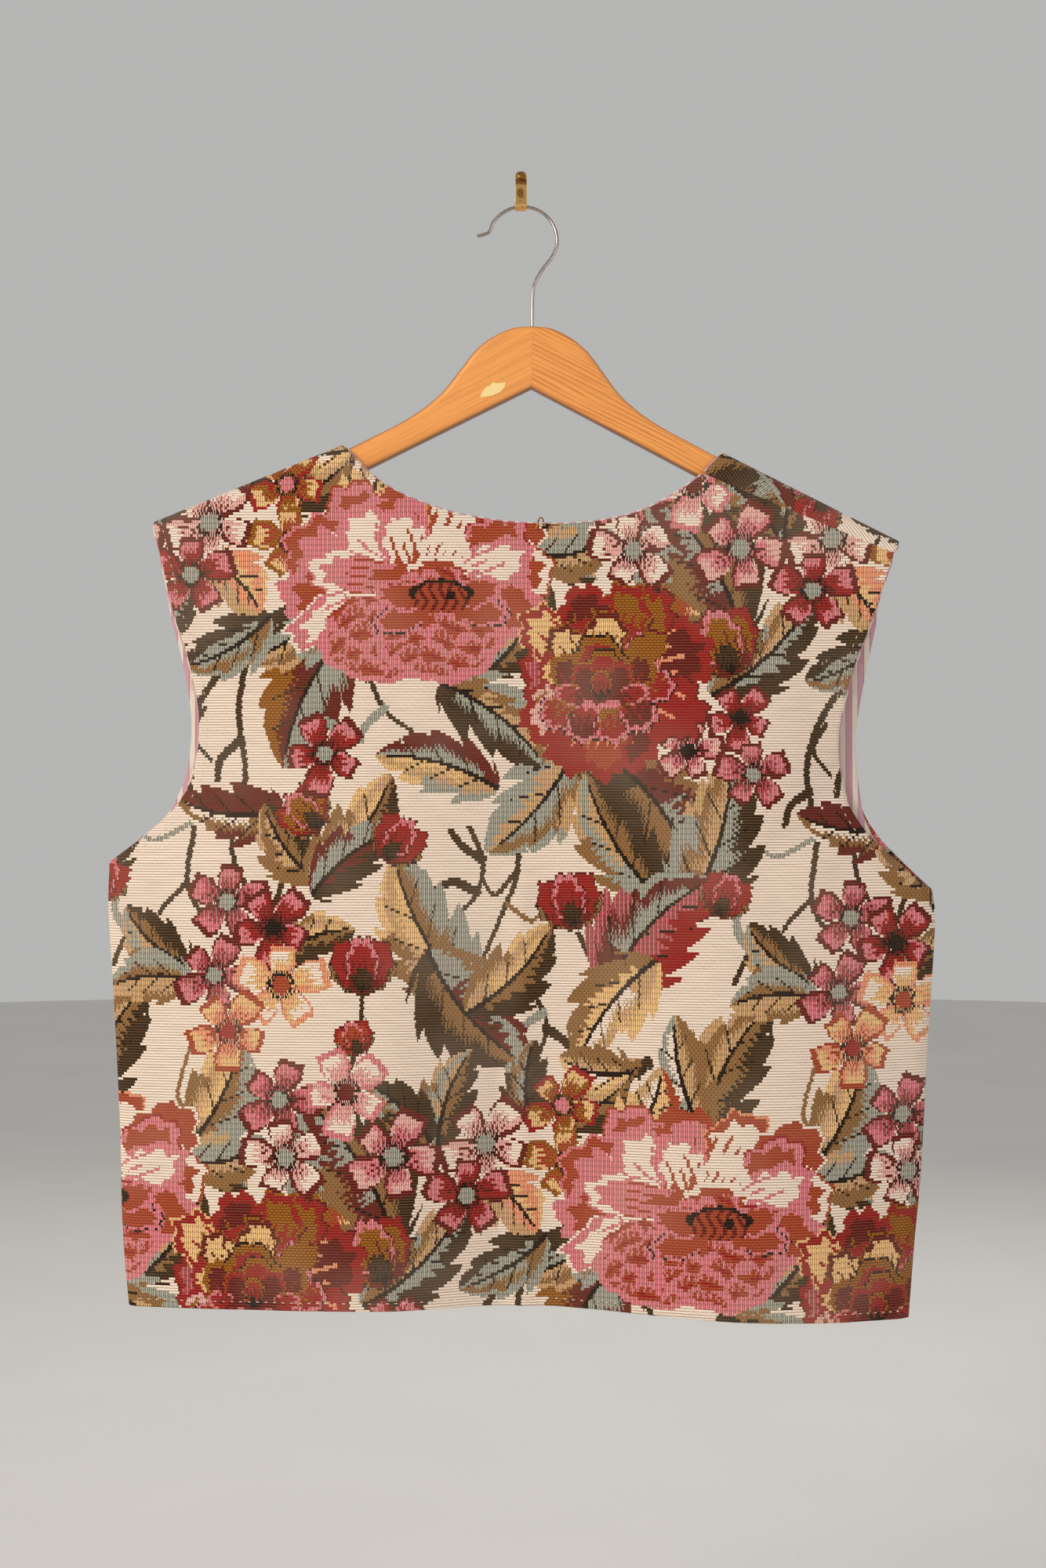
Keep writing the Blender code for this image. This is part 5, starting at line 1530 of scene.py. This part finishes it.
def wood_material(name, grain, slope, rings, sway, contrast):
    """Satin-varnished pale wood whose grain runs along its own arm, with painted shade on its edges and underside."""
    material, graph = new_material(name)
    place = graph.object_place()
    along_arm = graph.add("ShaderNodeMapping", {"vector_type": "TEXTURE"}, Vector=place)
    along_arm.inputs["Location"].default_value = Vector((HANGER_X, HANGER_Y, HANGER_TOP)) * MILLIMETRE
    along_arm.inputs["Rotation"].default_value = (0.0, slope, 0.0)
    wood = graph.add("ShaderNodeGroup", {"node_tree": grain}, Vector=along_arm.outputs[0], Rings=rings, Sway=sway)
    fibre = wood.outputs["Fibre"]
    ring = graph.math("MULTIPLY", wood.outputs["Ring"], contrast)
    colour = graph.mix(ring, linear((0.95, 0.63, 0.31)), linear((0.76, 0.42, 0.16)))
    colour = graph.tint(colour, fibre, 0.35, 0.75, 0.30, (0.66, 0.36, 0.13))
    colour = graph.tint(colour, graph.noise(place, 14.0), 0.4, 0.7, 0.16, (0.98, 0.70, 0.38))
    # Painted shade: the wood is darkened where its faces turn away from front and back, on its rounded edges, top and
    # underside.
    facing = graph.split(graph.add("ShaderNodeNewGeometry").outputs["Normal"])["Y"]
    colour = graph.tint(colour, graph.math("ABSOLUTE", facing), 0.90, 0.35, 0.80, (0.40, 0.21, 0.10))
    roughness = graph.ease(fibre, 0.3, 0.8, 0.34, 0.5)
    normal = graph.bump(fibre, 0.00008, 0.6)
    return dress(material, graph, colour, roughness, normal, Coat_Weight=0.25, Coat_Roughness=0.22)


def wire_material():
    """Bright drawn steel, brushed along its length and a little tarnished."""
    material, graph = new_material("drawn_steel")
    place = graph.object_place()
    drawn = graph.noise(graph.scaled(place, (900, 900, 60)), 1.0)
    colour = graph.tint(linear((0.68, 0.63, 0.59)), graph.noise(place, 90.0, 3.0), 0.5, 0.75, 0.5, (0.48, 0.36, 0.28))
    roughness = graph.ease(drawn, 0.3, 0.7, 0.16, 0.34)
    return dress(material, graph, colour, roughness, graph.bump(drawn, 0.000004), Metallic=1.0)


def brass_material(name, bright, dull, stained, rough, recess_shade_and_oval=False):
    """Brass, bright where it is touched and browned in patches; where asked, with painted shade in the recess under
    the flap and darker in one oval.
    """
    material, graph = new_material(name)
    do, place = graph.math, graph.object_place()
    tarnish_and_shade = graph.ease(graph.noise(place, 420.0, 4.0), 0.62 - stained, 0.80 - stained)
    if recess_shade_and_oval:
        where = graph.split(place)
        # Painted shade: darker towards the wall, in the recess under the flap that lies in shadow.
        recess = graph.ease(where["Y"], -0.0046, -0.0022, 0.0, 0.55)
        # Darker in one oval on the front of the lip.
        side = do("DIVIDE", do("ADD", where["X"], 0.0004), 0.0021)
        rise = do("DIVIDE", do("ADD", where["Z"], 0.0050), 0.0031)
        oval = do("ADD", do("MULTIPLY", side, side), do("MULTIPLY", rise, rise))
        oval = do("MULTIPLY", graph.ease(oval, 1.25, 0.70), graph.ease(where["Y"], -0.008, -0.009, 0.0, 0.75))
        # The patches of tarnish are joined with the painted shade in the recess and the dark oval.
        tarnish_and_shade = do("MAXIMUM", tarnish_and_shade, do("MAXIMUM", recess, oval))
    colour = graph.mix(tarnish_and_shade, linear(bright), linear(dull))
    roughness = graph.ease(tarnish_and_shade, 0.0, 1.0, rough, rough + 0.25)
    scratch = graph.noise(graph.scaled(place, (3000, 300, 300)), 1.0)
    return dress(material, graph, colour, roughness, graph.bump(scratch, 0.00001), Metallic=1.0)


def thread_material():
    material, graph = new_material("pale_thread")
    wave = graph.add("ShaderNodeTexWave", {"bands_direction": "DIAGONAL"}, Vector=graph.object_place(), Scale=900.0)
    ply = wave.outputs["Fac"]
    colour = graph.mix(ply, linear((0.84, 0.74, 0.64)), linear((0.95, 0.90, 0.82)))
    return dress(material, graph, colour, graph.ease(ply, 0.0, 1.0, 0.8, 0.6), graph.bump(ply, 0.00004))


def paper_material():
    material, graph = new_material("torn_paper")
    fibre = graph.noise(graph.object_place(), 600.0, 4.0)
    colour = graph.mix(fibre, linear((0.93, 0.79, 0.48)), linear((0.98, 0.89, 0.64)))
    return dress(material, graph, colour, graph.ease(fibre, 0.3, 0.7, 0.75, 0.95), graph.bump(fibre, 0.00005))


def floor_material():
    material, graph = new_material("pale_floor")
    mottle = graph.noise(graph.object_place(), 3.0)
    return dress(material, graph, graph.mix(mottle, linear((0.84, 0.83, 0.81)), linear((0.88, 0.87, 0.85))), 0.8)


# Stage, light and camera


FLOOR_RADIUS, FLOOR_DROP = 6.0, 0.38
AIM = (0.0, -0.02, -0.42)
Light = namedtuple("Light", "name place size power colour")
LIGHTS = [
    Light("window", (-1.7, -1.5, 0.5), (1.1, 1.3), 37.0, (1.0, 0.955, 0.90)),
    Light("lamp", (1.6, -1.5, 0.1), (1.2, 1.4), 10.0, (0.93, 0.93, 1.0)),
    Light("back", (0.3, 1.8, 0.7), (1.6, 1.6), 14.0, (1.0, 0.98, 0.95)),
]
ROOM_COLOUR, ROOM_LIGHT = (0.93, 0.93, 0.92, 1.0), 0.50
CAMERA_PLACE, LENS, SENSOR_HEIGHT = (0.00124, -1.381, -0.3769), 50.0, 36.0


def add_floor():
    mesh = bmesh.new()
    bmesh.ops.create_circle(mesh, cap_ends=True, segments=96, radius=FLOOR_RADIUS)
    data = bpy.data.meshes.new("floor")
    mesh.to_mesh(data)
    mesh.free()
    floor = new_object("floor", data, [floor_material()])
    floor.location = (0.0, 0.0, CAD_BOX[0][2] - FLOOR_DROP)


def add_light(light):
    data = bpy.data.lights.new(light.name, "AREA")
    data.shape = "RECTANGLE"
    data.size, data.size_y = light.size
    data.energy, data.color = light.power, light.colour
    lamp = new_object(light.name, data, [])
    lamp.location = light.place
    lamp.rotation_mode = "QUATERNION"
    lamp.rotation_quaternion = (Vector(AIM) - Vector(light.place)).to_track_quat("-Z", "Y")


def add_light_and_camera():
    for light in LIGHTS:
        add_light(light)
    scene = bpy.context.scene
    scene.world = bpy.data.worlds.new("studio")
    scene.world.use_nodes = True
    room = scene.world.node_tree.nodes["Background"].inputs
    room["Color"].default_value, room["Strength"].default_value = ROOM_COLOUR, ROOM_LIGHT
    scene.view_settings.view_transform = "Standard"
    data = bpy.data.cameras.new("camera")
    data.lens, data.sensor_fit, data.sensor_height = LENS, "VERTICAL", SENSOR_HEIGHT
    camera = new_object("camera", data, [])
    camera.location = CAMERA_PLACE
    camera.rotation_euler = (math.pi / 2, 0.0, 0.0)
    scene.camera = camera


def finished(piece, slot, *nodes):
    """Attaches a piece to the root body and hides the imported parts it stands in for; the slot is not used."""
    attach(piece, "root")
    if nodes:
        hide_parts(*nodes)


def main():
    add_light_and_camera()
    add_floor()
    tapestry, striped = tapestry_material(weave_group()), lining_material()
    panels = [back_panel(), front_left_panel(), front_right_panel()]
    for panel in panels:
        cloth = add_tapestry(panel, tapestry)
        finished(cloth, "tapestry", panel.name)
        lining = add_lining(panel, striped)
        finished(lining, "striped_lining", panel.name + "_lining")
    add_stitches(panels, thread_material())

    grain = wood_grain_group()
    board = hanger_board()
    left_wood = wood_material("wood_left", grain, -ARM_SLOPE, 90.0, 1.4, 0.26)
    right_wood = wood_material("wood_right", grain, ARM_SLOPE, 360.0, 4.2, 0.85)
    finished(add_arm("wooden_arm_left", -1.0, board, left_wood), "hanger_wood", "hanger_arm_left")
    finished(add_arm("wooden_arm_right", 1.0, board, right_wood), "hanger_wood", "hanger_arm_right")
    finished(add_label_scrap(paper_material()), "hanger_wood")
    finished(add_hook_wire(wire_material()), "steel_wire", "hanger_hook")

    # The wall strip's brass also gets painted shade in its recess and a darker oval.
    bright = brass_material("bright_brass", (0.90, 0.70, 0.42), (0.32, 0.17, 0.07), 0.04, 0.24, recess_shade_and_oval=True)
    brown = brass_material("browned_brass", (0.62, 0.45, 0.24), (0.34, 0.21, 0.10), 0.10, 0.36)
    dim = brass_material("dim_brass", (0.70, 0.47, 0.21), (0.36, 0.20, 0.08), 0.12, 0.30)
    finished(add_wall_strip(bright), "wall_brass", "wall_hook")
    finished(add_pin_head(brown), "aged_brass", "wall_pin")
    finished(add_brass_loop(dim), "wall_brass", "neck_loop")


main()
